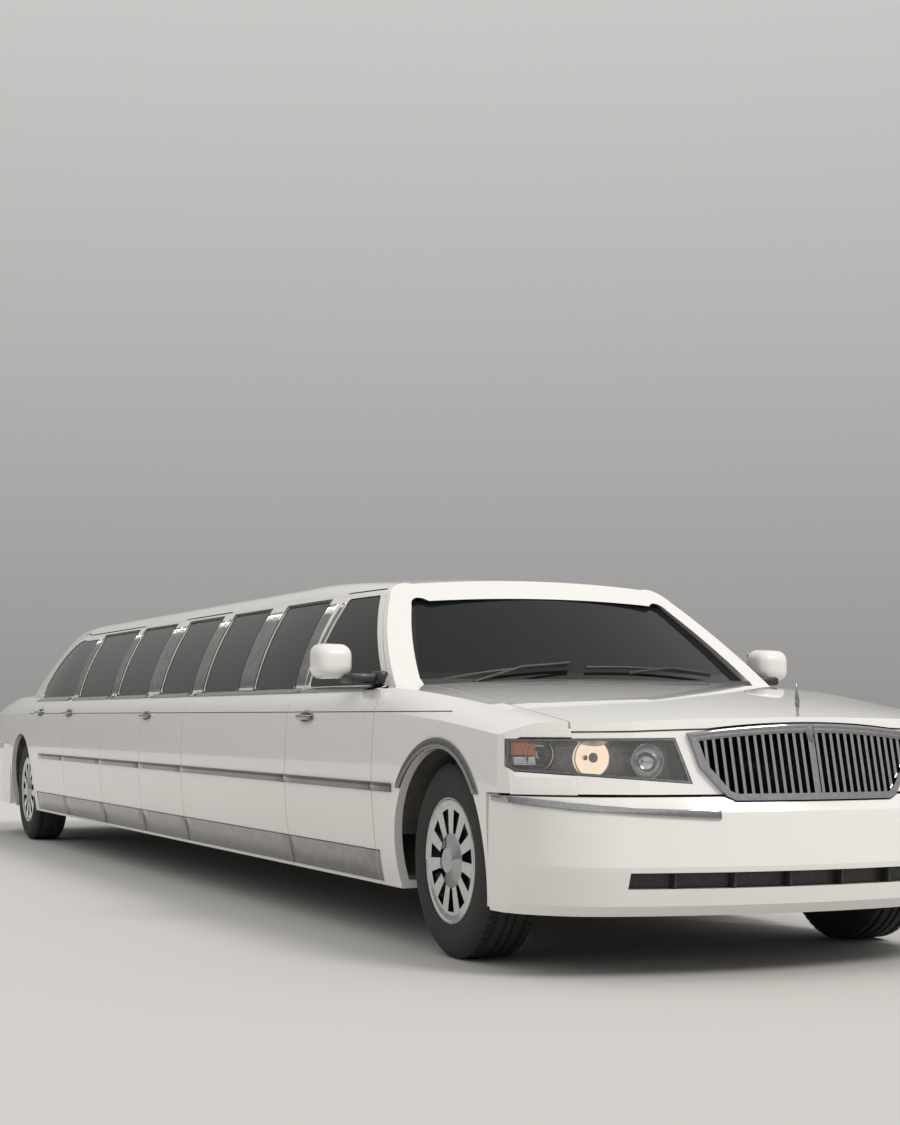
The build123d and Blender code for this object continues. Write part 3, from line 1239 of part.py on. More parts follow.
def make_rim(place_x, side, centre_y):
    """Revolves a rim and its brake disc, then cuts the windows between the spokes."""
    lip, well = (RIM_RADIUS + RIM_LIP, BEAD_RADIUS - SEAT_CLEARANCE)
    profile = [(RIM_BARREL_RADIUS, -RIM_HALF - RIM_LIP), (lip, -RIM_HALF - RIM_LIP),
               (lip, -RIM_HALF - SEAT_CLEARANCE), (well, -RIM_HALF - SEAT_CLEARANCE),
               (well, RIM_HALF + SEAT_CLEARANCE), (lip, RIM_HALF + SEAT_CLEARANCE),
               (lip, RIM_HALF + RIM_LIP), (RIM_BARREL_RADIUS, RIM_HALF),
               (HUB_RADIUS, HUB_FACE_Y), (0, HUB_FACE_Y), (0, SPINDLE_REACH + SEAT_CLEARANCE),
               (SPINDLE_RADIUS + SEAT_CLEARANCE, SPINDLE_REACH + SEAT_CLEARANCE),
               (SPINDLE_RADIUS + SEAT_CLEARANCE, DISC_Y), (DISC_RADIUS, DISC_Y),
               (DISC_RADIUS, DISC_Y + DISC_THICK), (HUB_RADIUS, DISC_Y + DISC_THICK),
               (HUB_RADIUS, HUB_FACE_Y - SPOKE_THICK),
               (RIM_BARREL_RADIUS, RIM_HALF - SPOKE_THICK)]
    face_plane = Plane(origin=(place_x, side * centre_y, TYRE_RADIUS), z_dir=(0, side, 0))
    with BuildPart() as rim:
        with BuildSketch(wheel_plane(place_x, side, centre_y)):
            with BuildLine():
                Polyline(*profile, close=True)
            make_face()
        revolve(axis=Axis((place_x, side * centre_y, TYRE_RADIUS), (0, 1, 0)))
        with BuildSketch(face_plane.offset(DISC_Y + DISC_THICK + SHUT_GAP)) as windows:
            with PolarLocations(0, SPOKES):
                Polygon((WINDOW_START, -WINDOW_INNER), (WINDOW_END, -WINDOW_OUTER),
                        (WINDOW_END, WINDOW_OUTER), (WINDOW_START, WINDOW_INNER), align=None)
        extrude(windows.sketch, amount=TYRE_WIDTH, dir=(0, side, 0), mode=Mode.SUBTRACT)
    return rim


WHEELS = [
    ("front", front(0), FRONT_TRACK / 2),
    ("rear", rear(0), REAR_TRACK / 2),
]
for axle, place_x, centre_y in WHEELS:
    for side, word in ((-1, "right"), (1, "left")):
        finish(make_tyre(place_x, side, centre_y), f"{axle}_tyre_{word}")
        finish(make_rim(place_x, side, centre_y), f"{axle}_rim_{word}")

# Door mirrors on a foot that covers the front corner of the window
foot_outline = polygon([(front(x), z) for x, z in MIRROR_FOOT])
for side, word in ((-1, "right"), (1, "left")):
    with BuildPart() as mirror:
        add(side_prism(foot_outline, side, WALL_RANGE)
            & (loft_roof(-MIRROR_FOOT_THICK) - loft_roof(-SEAT_CLEARANCE)))
        add(box((front(MIRROR_ARM_X[0]), front(MIRROR_ARM_X[1])),
                sorted((side * MIRROR_ARM_Y[0], side * MIRROR_ARM_Y[1])), MIRROR_ARM_Z)
            - loft_roof(-SEAT_CLEARANCE))
        with BuildSketch(Plane.YZ.offset(front(MIRROR_FACE_X))) as face:
            with Locations((side * MIRROR_Y, MIRROR_Z)):
                RectangleRounded(MIRROR_WIDTH, MIRROR_HEIGHT, MIRROR_CORNER)
        with BuildSketch(Plane.YZ.offset(front(MIRROR_FACE_X + MIRROR_DEPTH))) as nose:
            with Locations((side * MIRROR_Y, MIRROR_Z)):
                RectangleRounded(MIRROR_WIDTH * 0.7, MIRROR_HEIGHT * 0.6, MIRROR_CORNER * 0.6)
        loft([face.sketch, nose.sketch])
    finish(mirror, f"mirror_{word}")

# Cabin: dashboard, seats, partition and bar cabinet
with BuildPart() as dashboard:
    add(side_prism(polygon([(front(x), z) for x, z in DASH_OUTLINE]), 1, (-DASH_Y, DASH_Y)))
finish(dashboard, "dashboard")

helm_plane = Plane(origin=(front(HELM_X), HELM_Y, HELM_Z), x_dir=(0, 1, 0),
                   z_dir=(-cos(radians(HELM_TILT)), 0, sin(radians(HELM_TILT))))
dash_space = side_prism(polygon([(front(x), z) for x, z in DASH_OUTLINE]), 1,
                        (-DASH_Y, DASH_Y), grow=SEAT_CLEARANCE)
with BuildPart() as steering_wheel:
    with Locations(helm_plane):
        Torus(HELM_RADIUS, HELM_GRIP)
    with BuildSketch(helm_plane):
        Circle(HELM_BOSS)
        Rectangle(2 * HELM_RADIUS, HELM_SPOKE)
    extrude(amount=HELM_GRIP / 2, both=True)
    with BuildSketch(helm_plane):
        Circle(HELM_COLUMN_RADIUS)
    extrude(amount=-HELM_COLUMN_LENGTH)
    add(dash_space, mode=Mode.SUBTRACT)
finish(steering_wheel, "steering_wheel")

with BuildPart() as front_seats:
    for y in FRONT_SEAT_Y:
        add(side_prism(polygon([(front(FRONT_SEAT_X + x), z) for x, z in SEAT_OUTLINE]), 1,
                       (y - FRONT_SEAT_WIDTH / 2, y + FRONT_SEAT_WIDTH / 2)))
finish(front_seats, "front_seats")

partition_x = (front(PARTITION_X), front(PARTITION_X) + PARTITION_THICK)
with BuildPart() as partition:
    add(loft_roof(ROOF_WALL + SEAT_CLEARANCE) & box(partition_x, CAR_SPAN, (PARTITION_SEAM_Z, ROOF_Z)))
    add(box(partition_x, (-FLOOR_Y, FLOOR_Y), (CABIN_SILL_Z, PARTITION_SEAM_Z)))
    add(box(partition_x, (-CABIN_Y, CABIN_Y), (CABIN_FLOOR_Z, CABIN_SILL_Z)))
    add(box(partition_x, (-TUNNEL_Y - SEAT_CLEARANCE, TUNNEL_Y + SEAT_CLEARANCE),
            (0, TUNNEL_Z + SEAT_CLEARANCE)), mode=Mode.SUBTRACT)
    add(box(partition_x, (-PARTITION_WINDOW_Y, PARTITION_WINDOW_Y), PARTITION_WINDOW_Z),
        mode=Mode.SUBTRACT)
finish(partition, "partition")

with BuildPart() as lounge_seats:
    add(front_prism(polygon(SIDE_BENCH_OUTLINE), (front(SIDE_BENCH_X[0]), front(SIDE_BENCH_X[1]))))
    add(side_prism(polygon([(rear(x), z) for x, z in REAR_BENCH_OUTLINE]), 1,
                   (-REAR_BENCH_Y, REAR_BENCH_Y)))
    add(box((rear(TUNNEL_END_X) - SEAT_CLEARANCE, front(FIREWALL_X)),
            (-TUNNEL_Y - SEAT_CLEARANCE, TUNNEL_Y + SEAT_CLEARANCE),
            (0, TUNNEL_Z + SEAT_CLEARANCE)), mode=Mode.SUBTRACT)
finish(lounge_seats, "lounge_seats")

with BuildPart() as bar_cabinet:
    for rear_x, front_x in BAR_CABINETS:
        add(box((front(rear_x), front(front_x)), BAR_Y, (CABIN_FLOOR_Z, BAR_TOP_Z)))
finish(bar_cabinet, "bar_cabinet")
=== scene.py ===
"""Dresses a white stretch limousine: finishes, bright trim, lamps, wheels and cabin."""

import logging
from dataclasses import dataclass, field
from enum import Enum
from math import cos, pi, radians, sin
from typing import Callable

import bpy
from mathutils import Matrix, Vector


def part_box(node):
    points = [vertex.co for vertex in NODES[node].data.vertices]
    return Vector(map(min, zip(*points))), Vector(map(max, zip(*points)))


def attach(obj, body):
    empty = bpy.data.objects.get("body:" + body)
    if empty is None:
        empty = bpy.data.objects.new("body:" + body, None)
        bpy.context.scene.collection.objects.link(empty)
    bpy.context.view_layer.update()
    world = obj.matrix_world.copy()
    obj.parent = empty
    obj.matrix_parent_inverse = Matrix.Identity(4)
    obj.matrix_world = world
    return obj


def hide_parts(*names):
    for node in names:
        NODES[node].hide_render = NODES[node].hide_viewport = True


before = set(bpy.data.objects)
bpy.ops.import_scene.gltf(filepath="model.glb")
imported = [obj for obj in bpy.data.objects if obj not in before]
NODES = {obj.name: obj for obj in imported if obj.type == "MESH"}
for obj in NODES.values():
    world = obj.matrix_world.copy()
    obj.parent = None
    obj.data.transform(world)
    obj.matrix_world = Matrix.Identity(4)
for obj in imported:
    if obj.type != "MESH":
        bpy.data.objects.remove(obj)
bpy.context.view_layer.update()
LOG = logging.getLogger("limousine")
Point = tuple[float, float, float]
Flat = tuple[float, float]


class Side(Enum):
    """The two sides of the car, by the sign of y."""

    RIGHT = -1
    LEFT = 1

    @property
    def word(self) -> str:
        """Gives the side's word in the node names."""
        return self.name.lower()

    @property
    def facing(self) -> "Facing":
        """Gives the way that a sheet on this side looks."""
        return Facing[self.name]


class Facing(Enum):
    """The way that a draped sheet looks: its axis number and sign."""

    FRONT = (0, 1)
    REAR = (0, -1)
    RIGHT = (1, -1)
    LEFT = (1, 1)


def centre(node: str) -> Vector:
    """Gives the middle of a CAD node's box."""
    low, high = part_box(node)
    return (low + high) / 2


FRONT_AXLE = centre("front_tyre_right").x
REAR_AXLE = centre("rear_tyre_right").x
AXLE_Z = centre("front_tyre_right").z
# How far out a flat sheet stands before it is laid on the car's side
SIDE_STAND = 1.15


def front(x: float) -> float:
    """Turns a distance from the front axle into a place along the car."""
    return FRONT_AXLE + x


def rear(x: float) -> float:
    """Turns a distance from the rear axle into a place along the car."""
    return REAR_AXLE + x


# Shader building


class Signal:
    """A shader socket that adds, subtracts and multiplies like a number."""

    def __init__(self, shader: "Shader", socket: bpy.types.NodeSocket) -> None:
        """Keeps the socket and the shader that it belongs to."""
        self.shader = shader
        self.socket = socket

    def combine(self, operation: str, first: "Signal | float",
                second: "Signal | float") -> "Signal":
        """Adds one Math node for two operands."""
        return self.shader.node("ShaderNodeMath", {"operation": operation}, {0: first, 1: second})

    def __add__(self, other: "Signal | float") -> "Signal":
        """Adds."""
        return self.combine("ADD", self, other)

    def __sub__(self, other: "Signal | float") -> "Signal":
        """Subtracts."""
        return self.combine("SUBTRACT", self, other)

    def __rsub__(self, other: float) -> "Signal":
        """Subtracts from a number."""
        return self.combine("SUBTRACT", other, self)

    def __mul__(self, other: "Signal | float") -> "Signal":
        """Multiplies."""
        return self.combine("MULTIPLY", self, other)

    __radd__ = __add__
    __rmul__ = __mul__


class Shader:
    """One material and the few kinds of node that its finish needs."""

    def __init__(self, name: str) -> None:
        """Makes an empty material with a Principled surface."""
        self.material = bpy.data.materials.new(name)
        self.material.use_nodes = True
        self.tree = self.material.node_tree
        self.surface = self.tree.nodes["Principled BSDF"]

    def node(self, kind: str, settings: dict, inputs: dict, output: int | str = 0) -> Signal:
        """Adds a node.

        Args:
            kind: the node's type.
            settings: attributes that are set first.
            inputs: values or signals for its sockets, by index or name.
            output: the socket that is returned.

        Returns:
            The chosen output as a signal.
        """
        made = self.tree.nodes.new(kind)
        for key, value in settings.items():
            setattr(made, key, value)
        for key, value in inputs.items():
            self.feed(made.inputs[key], value)
        return Signal(self, made.outputs[output])

    def feed(self, socket: bpy.types.NodeSocket, value: "Signal | float | tuple") -> None:
        """Links a signal to a socket, or sets a constant on it."""
        if isinstance(value, Signal):
            self.tree.links.new(value.socket, socket)
        else:
            socket.default_value = value

    def set(self, **inputs: "Signal | float | tuple") -> None:
        """Sets sockets of the Principled surface, whose names have spaces for underscores."""
        for key, value in inputs.items():
            self.feed(self.surface.inputs[key.replace("_", " ")], value)

    def place(self) -> Signal:
        """Gives the object coordinates."""
        return self.node("ShaderNodeTexCoord", {}, {}, "Object")

    def height(self) -> Signal:
        """Gives the height above the ground."""
        return self.node("ShaderNodeSeparateXYZ", {}, {0: self.place()}, "Z")

    def noise(self, scale: float, detail: float = 3.0) -> Signal:
        """Gives smooth noise from 0 to 1."""
        return self.node("ShaderNodeTexNoise", {}, {"Vector": self.place(), "Scale": scale,
                                                    "Detail": detail})

    def ramp(self, value: Signal, low: float, high: float, start: float, end: float) -> Signal:
        """Maps a range onto another one, held at its ends."""
        return self.node("ShaderNodeMapRange", {"clamp": True},
                         {0: value, 1: low, 2: high, 3: start, 4: end})

    def mix(self, factor: Signal | float, first: Signal | tuple, second: Signal | tuple) -> Signal:
        """Mixes two colours."""
        return self.node("ShaderNodeMix", {"data_type": "RGBA"},
                         {0: factor, 6: first, 7: second}, 2)

    def bump(self, height: Signal, strength: float, distance: float) -> None:
        """Bumps the surface by a height signal."""
        self.set(Normal=self.node("ShaderNodeBump", {}, {"Strength": strength, "Distance": distance,
                                                         "Height": height}))


def colour(red: float, green: float, blue: float) -> tuple[float, float, float, float]:
    """Gives a colour with full alpha."""
    return (red, green, blue, 1.0)


@dataclass(frozen=True)
class Finish:
    """A surface finish: its record slot, base colours and gloss."""

    name: str
    slot: str
    base: tuple
    worn: tuple
    roughness: float
    metallic: float = 0.0
    coat: float = 0.0
    grain: float = 60.0
    relief: float = 0.0
    relief_depth: float = 0.0005

    def material(self) -> bpy.types.Material:
        """Gives the material, made once."""
        known = bpy.data.materials.get(self.name)
        return known if known else self.build()

    def build(self) -> bpy.types.Material:
        """Makes the material: two close colours, uneven gloss and a fine relief."""
        shader = Shader(self.name)
        cloud = shader.noise(self.grain)
        shader.set(Base_Color=shader.mix(shader.ramp(cloud, 0.35, 0.65, 0.0, 1.0), self.base,
                                         self.worn),
                   Roughness=shader.ramp(shader.noise(self.grain * 0.3), 0.3, 0.7,
                                         self.roughness * 0.8, self.roughness * 1.25),
                   Metallic=self.metallic, Coat_Weight=self.coat, Coat_Roughness=0.03)
        if self.relief:
            shader.bump(cloud, self.relief, self.relief_depth)
        return shader.material


@dataclass(frozen=True)
class Paint(Finish):
    """Clear-coated body paint, browner low down: road dust and a painted reflection of the ground.
    """

    dust: tuple = colour(0.60, 0.57, 0.52)
    dust_top: float = 0.60
    dust_share: float = 0.16

    def build(self) -> bpy.types.Material:
        """Makes the paint: even colour, road dust and a painted ground reflection that thin out
        upwards, and a faint orange peel.
        """
        shader = Shader(self.name)
        # Painted ground reflection mixed with road dust: a browner tint low down that fades with
        # height
        low = shader.ramp(shader.height(), 0.2, self.dust_top, self.dust_share, 0.0)
        dust = low * shader.ramp(shader.noise(2.4, 2.0), 0.25, 0.75, 0.5, 1.0)
        shade = shader.mix(shader.noise(1.3), self.base, self.worn)
        shader.set(Base_Color=shader.mix(dust, shade, self.dust),
                   Roughness=dust * 0.8 + self.roughness, Coat_Weight=1.0 - dust * 2.0,
                   Coat_Roughness=0.02)
        shader.bump(shader.noise(420.0, 1.0), 0.02, 0.0004)
        return shader.material


@dataclass(frozen=True)
class Glass(Finish):
    """Tinted glass: see-through from straight on and glossy at a slant.

    A frit is a black border: how fast its sides come in with height, the half width that they
    would have at the ground, and the heights of its bottom and top.
    """

    tint: float = 0.7
    index: float = 1.32
    frit: tuple[float, float, float, float] | None = None

    def build(self) -> bpy.types.Material:
        """Makes the glass, whose alpha rises with the slant of the view."""
        shader = Shader(self.name)
        slant = shader.node("ShaderNodeFresnel", {}, {"IOR": self.index})
        film = shader.mix(shader.ramp(shader.noise(9.0), 0.4, 0.7, 0.0, 0.5), self.base, self.worn)
        alpha = slant * (1.0 - self.tint) + self.tint
        if self.frit:
            border = self.border(shader)
            film = shader.mix(border, film, colour(0.008, 0.008, 0.008))
            alpha = alpha.combine("MAXIMUM", alpha, border)
        shader.set(Base_Color=film, Roughness=self.roughness, IOR=self.index, Alpha=alpha)
        return shader.material

    def border(self, shader: Shader) -> Signal:
        """Gives 1 on the frit and 0 inside it."""
        slope, side, low, high = self.frit
        across = shader.node("ShaderNodeSeparateXYZ", {}, {0: shader.place()}, "Y")
        height = shader.height()
        reach = across.combine("ABSOLUTE", across, 0.0) + height * slope
        sides = shader.ramp(reach, side - 0.002, side + 0.002, 0.0, 1.0)
        ends = (shader.ramp(height, low, low + 0.004, 1.0, 0.0)
                + shader.ramp(height, high, high + 0.004, 0.0, 1.0))
        return sides.combine("MAXIMUM", sides, ends)


@dataclass(frozen=True)
class Leather(Finish):
    """Grained leather with creases."""

    def build(self) -> bpy.types.Material:
        """Makes the leather from a cell pattern and soft noise."""
        shader = Shader(self.name)
        cells = shader.node("ShaderNodeTexVoronoi", {"feature": "DISTANCE_TO_EDGE"},
                            {"Vector": shader.place(), "Scale": 420.0})
        shader.set(Base_Color=shader.mix(shader.noise(6.0), self.base, self.worn),
                   Roughness=shader.ramp(shader.noise(14.0), 0.3, 0.7, self.roughness - 0.08,
                                         self.roughness + 0.08))
        shader.bump(shader.ramp(cells, 0.0, 0.12, 0.0, 1.0), 0.35, 0.0006)
        return shader.material


@dataclass(frozen=True)
class Wood(Finish):
    """Polished wood with long grain."""

    def build(self) -> bpy.types.Material:
        """Makes the grain from stretched bands."""
        shader = Shader(self.name)
        bands = shader.node("ShaderNodeTexWave", {"wave_type": "BANDS", "bands_direction": "Z"},
                            {"Vector": shader.place(), "Scale": 9.0, "Distortion": 6.0,
                             "Detail": 3.0})
        shader.set(Base_Color=shader.mix(bands, self.base, self.worn), Roughness=self.roughness,
                   Coat_Weight=0.8)
        return shader.material


@dataclass(frozen=True)
class Glow(Finish):
    """A lit lamp."""

    strength: float = 1.0

    def build(self) -> bpy.types.Material:
        """Makes a surface that shines in its own colour."""
        shader = Shader(self.name)
        shader.set(Base_Color=colour(0.12, 0.10, 0.08), Roughness=self.roughness,
                   Emission_Strength=self.strength,
                   Emission_Color=shader.mix(shader.noise(90.0), self.base, self.worn))
        return shader.material


PAINT = Paint("white_paint", "body_paint", colour(0.86, 0.845, 0.82),
              colour(0.83, 0.815, 0.79), 0.2)
CHROME = Finish("bright_chrome", "chrome", colour(0.44, 0.44, 0.45), colour(0.38, 0.38, 0.39),
                0.06, metallic=1.0)
STRIP = Finish("strip_chrome", "chrome", colour(0.22, 0.22, 0.225), colour(0.18, 0.18, 0.185),
               0.06, metallic=1.0)
STAINLESS = Finish("polished_stainless", "chrome", colour(0.31, 0.305, 0.30),
                   colour(0.25, 0.245, 0.24), 0.12, metallic=1.0, grain=20.0)
ALLOY = Finish("polished_wheel_alloy", "polished_alloy", colour(0.56, 0.56, 0.57),
               colour(0.47, 0.47, 0.48), 0.12, metallic=1.0, coat=0.4)
PRIVACY = Glass("privacy_glass", "window_glass", colour(0.006, 0.007, 0.007),
                colour(0.010, 0.010, 0.010), 0.02, tint=0.9)
DOOR_GLASS = Glass("door_glass", "window_glass", colour(0.010, 0.012, 0.012),
                   colour(0.015, 0.015, 0.015), 0.02, tint=0.7)
SCREEN = Glass("screen_glass", "window_glass", colour(0.012, 0.015, 0.015),
               colour(0.018, 0.018, 0.018), 0.02, tint=0.62, frit=(0.467, 1.200, 1.040, 1.350))
BACKLIGHT = Glass("backlight_glass", "window_glass", colour(0.006, 0.007, 0.007),
                  colour(0.010, 0.010, 0.010), 0.02, tint=0.9,
                  frit=(0.424, 1.153, 1.106, 1.374))
LENS = Glass("clear_lens", "lamp_lens", colour(0.75, 0.77, 0.78), colour(0.7, 0.72, 0.73), 0.03,
             tint=0.05, index=1.45)
RED_LENS = Finish("red_lens", "tail_lens", colour(0.32, 0.008, 0.01), colour(0.25, 0.006, 0.008),
                  0.08, coat=1.0)
AMBER = Finish("amber_reflector", "lamp_lens", colour(0.85, 0.22, 0.02), colour(0.7, 0.16, 0.02),
               0.15, coat=1.0)
REFLECTOR = Finish("lamp_reflector", "lamp_housing", colour(0.66, 0.66, 0.67),
                   colour(0.6, 0.6, 0.61), 0.1, metallic=1.0)
HOUSING = Finish("lamp_inner_grey", "lamp_housing", colour(0.20, 0.20, 0.205),
                 colour(0.15, 0.15, 0.155), 0.3, metallic=0.6)
WARM_LIGHT = Glow("warm_bowl", "lamp_lens", colour(1.0, 0.74, 0.48), colour(1.0, 0.86, 0.68), 0.3,
                  strength=0.95)
PLATE = Finish("blank_plate", "dash_trim", colour(0.66, 0.66, 0.64), colour(0.60, 0.60, 0.58), 0.4)
TYRE = Finish("tyre_rubber", "tyre_rubber", colour(0.022, 0.022, 0.022), colour(0.05, 0.048, 0.045),
              0.75, grain=35.0, relief=0.2)
RUBBER = Finish("seal_rubber", "black_trim", colour(0.015, 0.015, 0.015), colour(0.03, 0.03, 0.03),
                0.5, grain=80.0, relief=0.1)
BLACK = Finish("black_plastic", "black_trim", colour(0.02, 0.02, 0.02), colour(0.04, 0.04, 0.04),
               0.4, grain=150.0, relief=0.2)
STEEL = Finish("coated_steel", "frame_steel", colour(0.03, 0.03, 0.03), colour(0.07, 0.06, 0.05),
               0.55, metallic=0.3, grain=25.0, relief=0.2)
SHEET = Finish("undercoat", "sheet_steel", colour(0.05, 0.05, 0.05), colour(0.09, 0.08, 0.07), 0.7,
               grain=18.0, relief=0.4, relief_depth=0.001)
IRON = Finish("cast_iron", "engine_iron", colour(0.14, 0.14, 0.14), colour(0.2, 0.18, 0.16), 0.6,
              metallic=0.7, grain=70.0, relief=0.5, relief_depth=0.001)
BRIGHT = Finish("plain_steel", "bright_steel", colour(0.36, 0.35, 0.34), colour(0.26, 0.24, 0.22),
                0.4, metallic=0.9, grain=12.0, relief=0.1)
FINS = Finish("radiator_fins", "radiator_black", colour(0.03, 0.03, 0.03), colour(0.06, 0.06, 0.06),
              0.5, metallic=0.6, grain=200.0, relief=0.5)
TRIM = Finish("dash_trim", "dash_trim", colour(0.16, 0.125, 0.09), colour(0.12, 0.09, 0.065), 0.55,
              grain=180.0, relief=0.25)
LEATHER = Leather("dark_leather", "seat_leather", colour(0.045, 0.04, 0.038),
                  colour(0.075, 0.065, 0.06), 0.42)
WOOD = Wood("dark_wood", "dark_wood", colour(0.07, 0.03, 0.012), colour(0.16, 0.07, 0.03), 0.25)

NODE_FINISHES = {
    PAINT: ["roof", "side_panels", "quarter_panels", "trunk_lid", "rear_deck", "fenders", "hood",
            "header_panel", "front_bumper", "rear_bumper", "mirror_right", "mirror_left",
            "front_door_right", "front_door_left", "fifth_door_right", "club_door_right",
            "rear_door_right", "rear_door_left"],
    PRIVACY: ["fifth_window_right", "club_window_right", "rear_window_right", "rear_window_left",
              "side_glass"],
    BACKLIGHT: ["rear_window"],
    DOOR_GLASS: ["front_window_right", "front_window_left"],
    SCREEN: ["windshield"],
    CHROME: ["grille"],
    HOUSING: ["headlamps"],
    LENS: ["headlamp_lenses"],
    RED_LENS: ["tail_lamps"],
    ALLOY: ["front_rim_right", "front_rim_left", "rear_rim_right", "rear_rim_left"],
    STEEL: ["frame", "front_suspension", "rear_axle", "driveshaft", "steering_knuckle_right",
            "steering_knuckle_left"],
    SHEET: ["floor_pan", "front_structure"],
    IRON: ["engine_block"],
    BRIGHT: ["exhaust", "fuel_tank"],
    FINS: ["radiator"],
    TRIM: ["dashboard", "partition"],
    BLACK: ["steering_wheel"],
    WOOD: ["bar_cabinet"],
}


# Modelling steps

ROUND_ANGLE = 60.0
BEVEL_ANGLE = 40.0
# How little a projected vertex moves when the projection misses the surface
MISSED = 1e-6
OVAL_SIDES = 16
CUSHION_EDGE = 0.22
CUSHION_CROWN = 0.09


def deselect() -> None:
    """Leaves edit mode and deselects everything."""
    if bpy.context.mode != "OBJECT":
        bpy.ops.object.mode_set(mode="OBJECT")
    bpy.ops.object.select_all(action="DESELECT")


def pick(*pieces: bpy.types.Object) -> None:
    """Selects pieces, with the first one active."""
    deselect()
    for piece in pieces:
        piece.select_set(True)
    bpy.context.view_layer.objects.active = pieces[0]


def settle(name: str) -> bpy.types.Object:
    """Names the active piece and moves its place into its mesh."""
    piece = bpy.context.active_object
    piece.name = name
    piece.data.name = name
    bpy.ops.object.transform_apply(location=True, rotation=True, scale=True)
    return piece


def whole() -> None:
    """Selects the whole mesh, as an edit step."""
    bpy.ops.mesh.select_all(action="SELECT")


def edit(piece: bpy.types.Object, *steps: Callable[[], object]) -> None:
    """Runs edit-mode steps on the whole of a piece."""
    pick(piece)
    bpy.ops.object.mode_set(mode="EDIT")
    whole()
    for step in steps:
        step()
    bpy.ops.object.mode_set(mode="OBJECT")


def choose(piece: bpy.types.Object, wanted: Callable[[bpy.types.MeshVertex], bool]) -> None:
    """Deselects a piece's mesh and then selects the vertices that a test wants, in edit mode."""
    edit(piece, lambda: bpy.ops.mesh.select_all(action="DESELECT"))
    for vertex in piece.data.vertices:
        vertex.select = wanted(vertex)
    bpy.ops.object.mode_set(mode="EDIT")


def pull(shift: Vector | Point) -> Callable[[], object]:
    """Gives the edit step that extrudes what is selected by a shift."""
    return lambda: bpy.ops.mesh.extrude_region_move(TRANSFORM_OT_translate={"value": shift})


def modify(piece: bpy.types.Object, kind: str, **settings: object) -> None:
    """Adds a modifier to a piece and applies it."""
    pick(piece)
    modifier = piece.modifiers.new(kind.lower(), kind)
    for key, value in settings.items():
        setattr(modifier, key, value)
    bpy.ops.object.modifier_apply(modifier=modifier.name)


def smooth(piece: bpy.types.Object, angle: float = 35.0) -> None:
    """Shades a piece smooth, with its sharp edges kept."""
    pick(piece)
    bpy.ops.object.shade_smooth_by_angle(angle=radians(angle))


def bevel(piece: bpy.types.Object, width: float, segments: int = 2) -> None:
    """Rounds a piece's sharp edges."""
    modify(piece, "BEVEL", width=width, segments=segments, limit_method="ANGLE",
           angle_limit=radians(BEVEL_ANGLE))


def turn_to(piece: bpy.types.Object, facing: Facing) -> None:
    """Flips a sheet's faces where they look away from its facing."""
    axis, sign = facing.value
    if sum(face.normal[axis] * face.area for face in piece.data.polygons) * sign < 0:
        edit(piece, bpy.ops.mesh.flip_normals)


def box(name: str, low: Point, high: Point) -> bpy.types.Object:
    """Makes a sharp-edged box between two corners."""
    deselect()
    middle = [(a + b) / 2 for a, b in zip(low, high)]
    size = [abs(b - a) for a, b in zip(low, high)]
    bpy.ops.mesh.primitive_cube_add(size=1, location=middle, scale=size)
    return settle(name)


def block(name: str, low: Point, high: Point, edge: float = 0.002) -> bpy.types.Object:
    """Makes a block with rounded edges between two corners."""
    piece = box(name, low, high)
    bevel(piece, edge)
    smooth(piece)
    return piece


def rod(name: str, start: Point, end: Point, radius: float, sides: int = 20,
        end_radius: float | None = None) -> bpy.types.Object:
    """Makes a round bar or cone between two points, with rounded rims."""
    deselect()
    along = Vector(end) - Vector(start)
    turn = along.to_track_quat("Z", "Y").to_euler()
    tip = radius if end_radius is None else end_radius
    bpy.ops.mesh.primitive_cone_add(vertices=sides, radius1=radius, radius2=tip,
                                    depth=along.length, rotation=turn,
                                    location=(Vector(start) + Vector(end)) / 2)
    piece = settle(name)
    bevel(piece, min(radius, max(tip, radius * 0.3)) * 0.15)
    smooth(piece)
    return piece


def turned(name: str, place: Point, side: Side, profile: list[Flat],
           steps: int) -> bpy.types.Object:
    """Turns a profile round an axle.

    Args:
        name: the piece's name.
        place: the middle of the wheel.
        side: the side whose outside the profile's second number points to.
        profile: pairs of radius and distance outwards.
        steps: how many steps the turn has.

    Returns:
        The closed piece, with its faces pointing outwards.
    """
    x, y, z = place
    piece = path(name, [(x, y + side.value * out, z + radius) for radius, out in profile])
    edit(piece,
         lambda: bpy.ops.mesh.spin(steps=steps, angle=2 * pi, center=place, axis=(0, 1, 0)),
         whole,
         lambda: bpy.ops.mesh.remove_doubles(threshold=0.0002),
         lambda: bpy.ops.mesh.normals_make_consistent(inside=False))
    smooth(piece)
    return piece


def path(name: str, points: list[Point]) -> bpy.types.Object:
    """Draws a line of edges by pulling one vertex from point to point."""
    deselect()
    bpy.ops.mesh.primitive_plane_add(size=0.001, location=points[0])
    piece = settle(name)
    pulls = [pull(Vector(b) - Vector(a)) for a, b in zip(points, points[1:])]
    edit(piece, lambda: bpy.ops.mesh.merge(type="CENTER"), *pulls)
    return piece


def wire(name: str, points: list[Point], radius: float) -> bpy.types.Object:
    """Makes a round wire along points."""
    piece = path(name, points)
    pick(piece)
    bpy.ops.object.convert(target="CURVE")
    piece = bpy.context.active_object
    piece.data.bevel_depth = radius
    piece.data.bevel_resolution = 3
    piece.data.use_fill_caps = True
    bpy.ops.object.convert(target="MESH")
    piece = bpy.context.active_object
    smooth(piece)
    return piece


def join(name: str, pieces: list[bpy.types.Object]) -> bpy.types.Object:
    """Joins pieces into one."""
    pick(*pieces)
    if len(pieces) > 1:
        bpy.ops.object.join()
    pieces[0].name = name
    pieces[0].data.name = name
    return pieces[0]


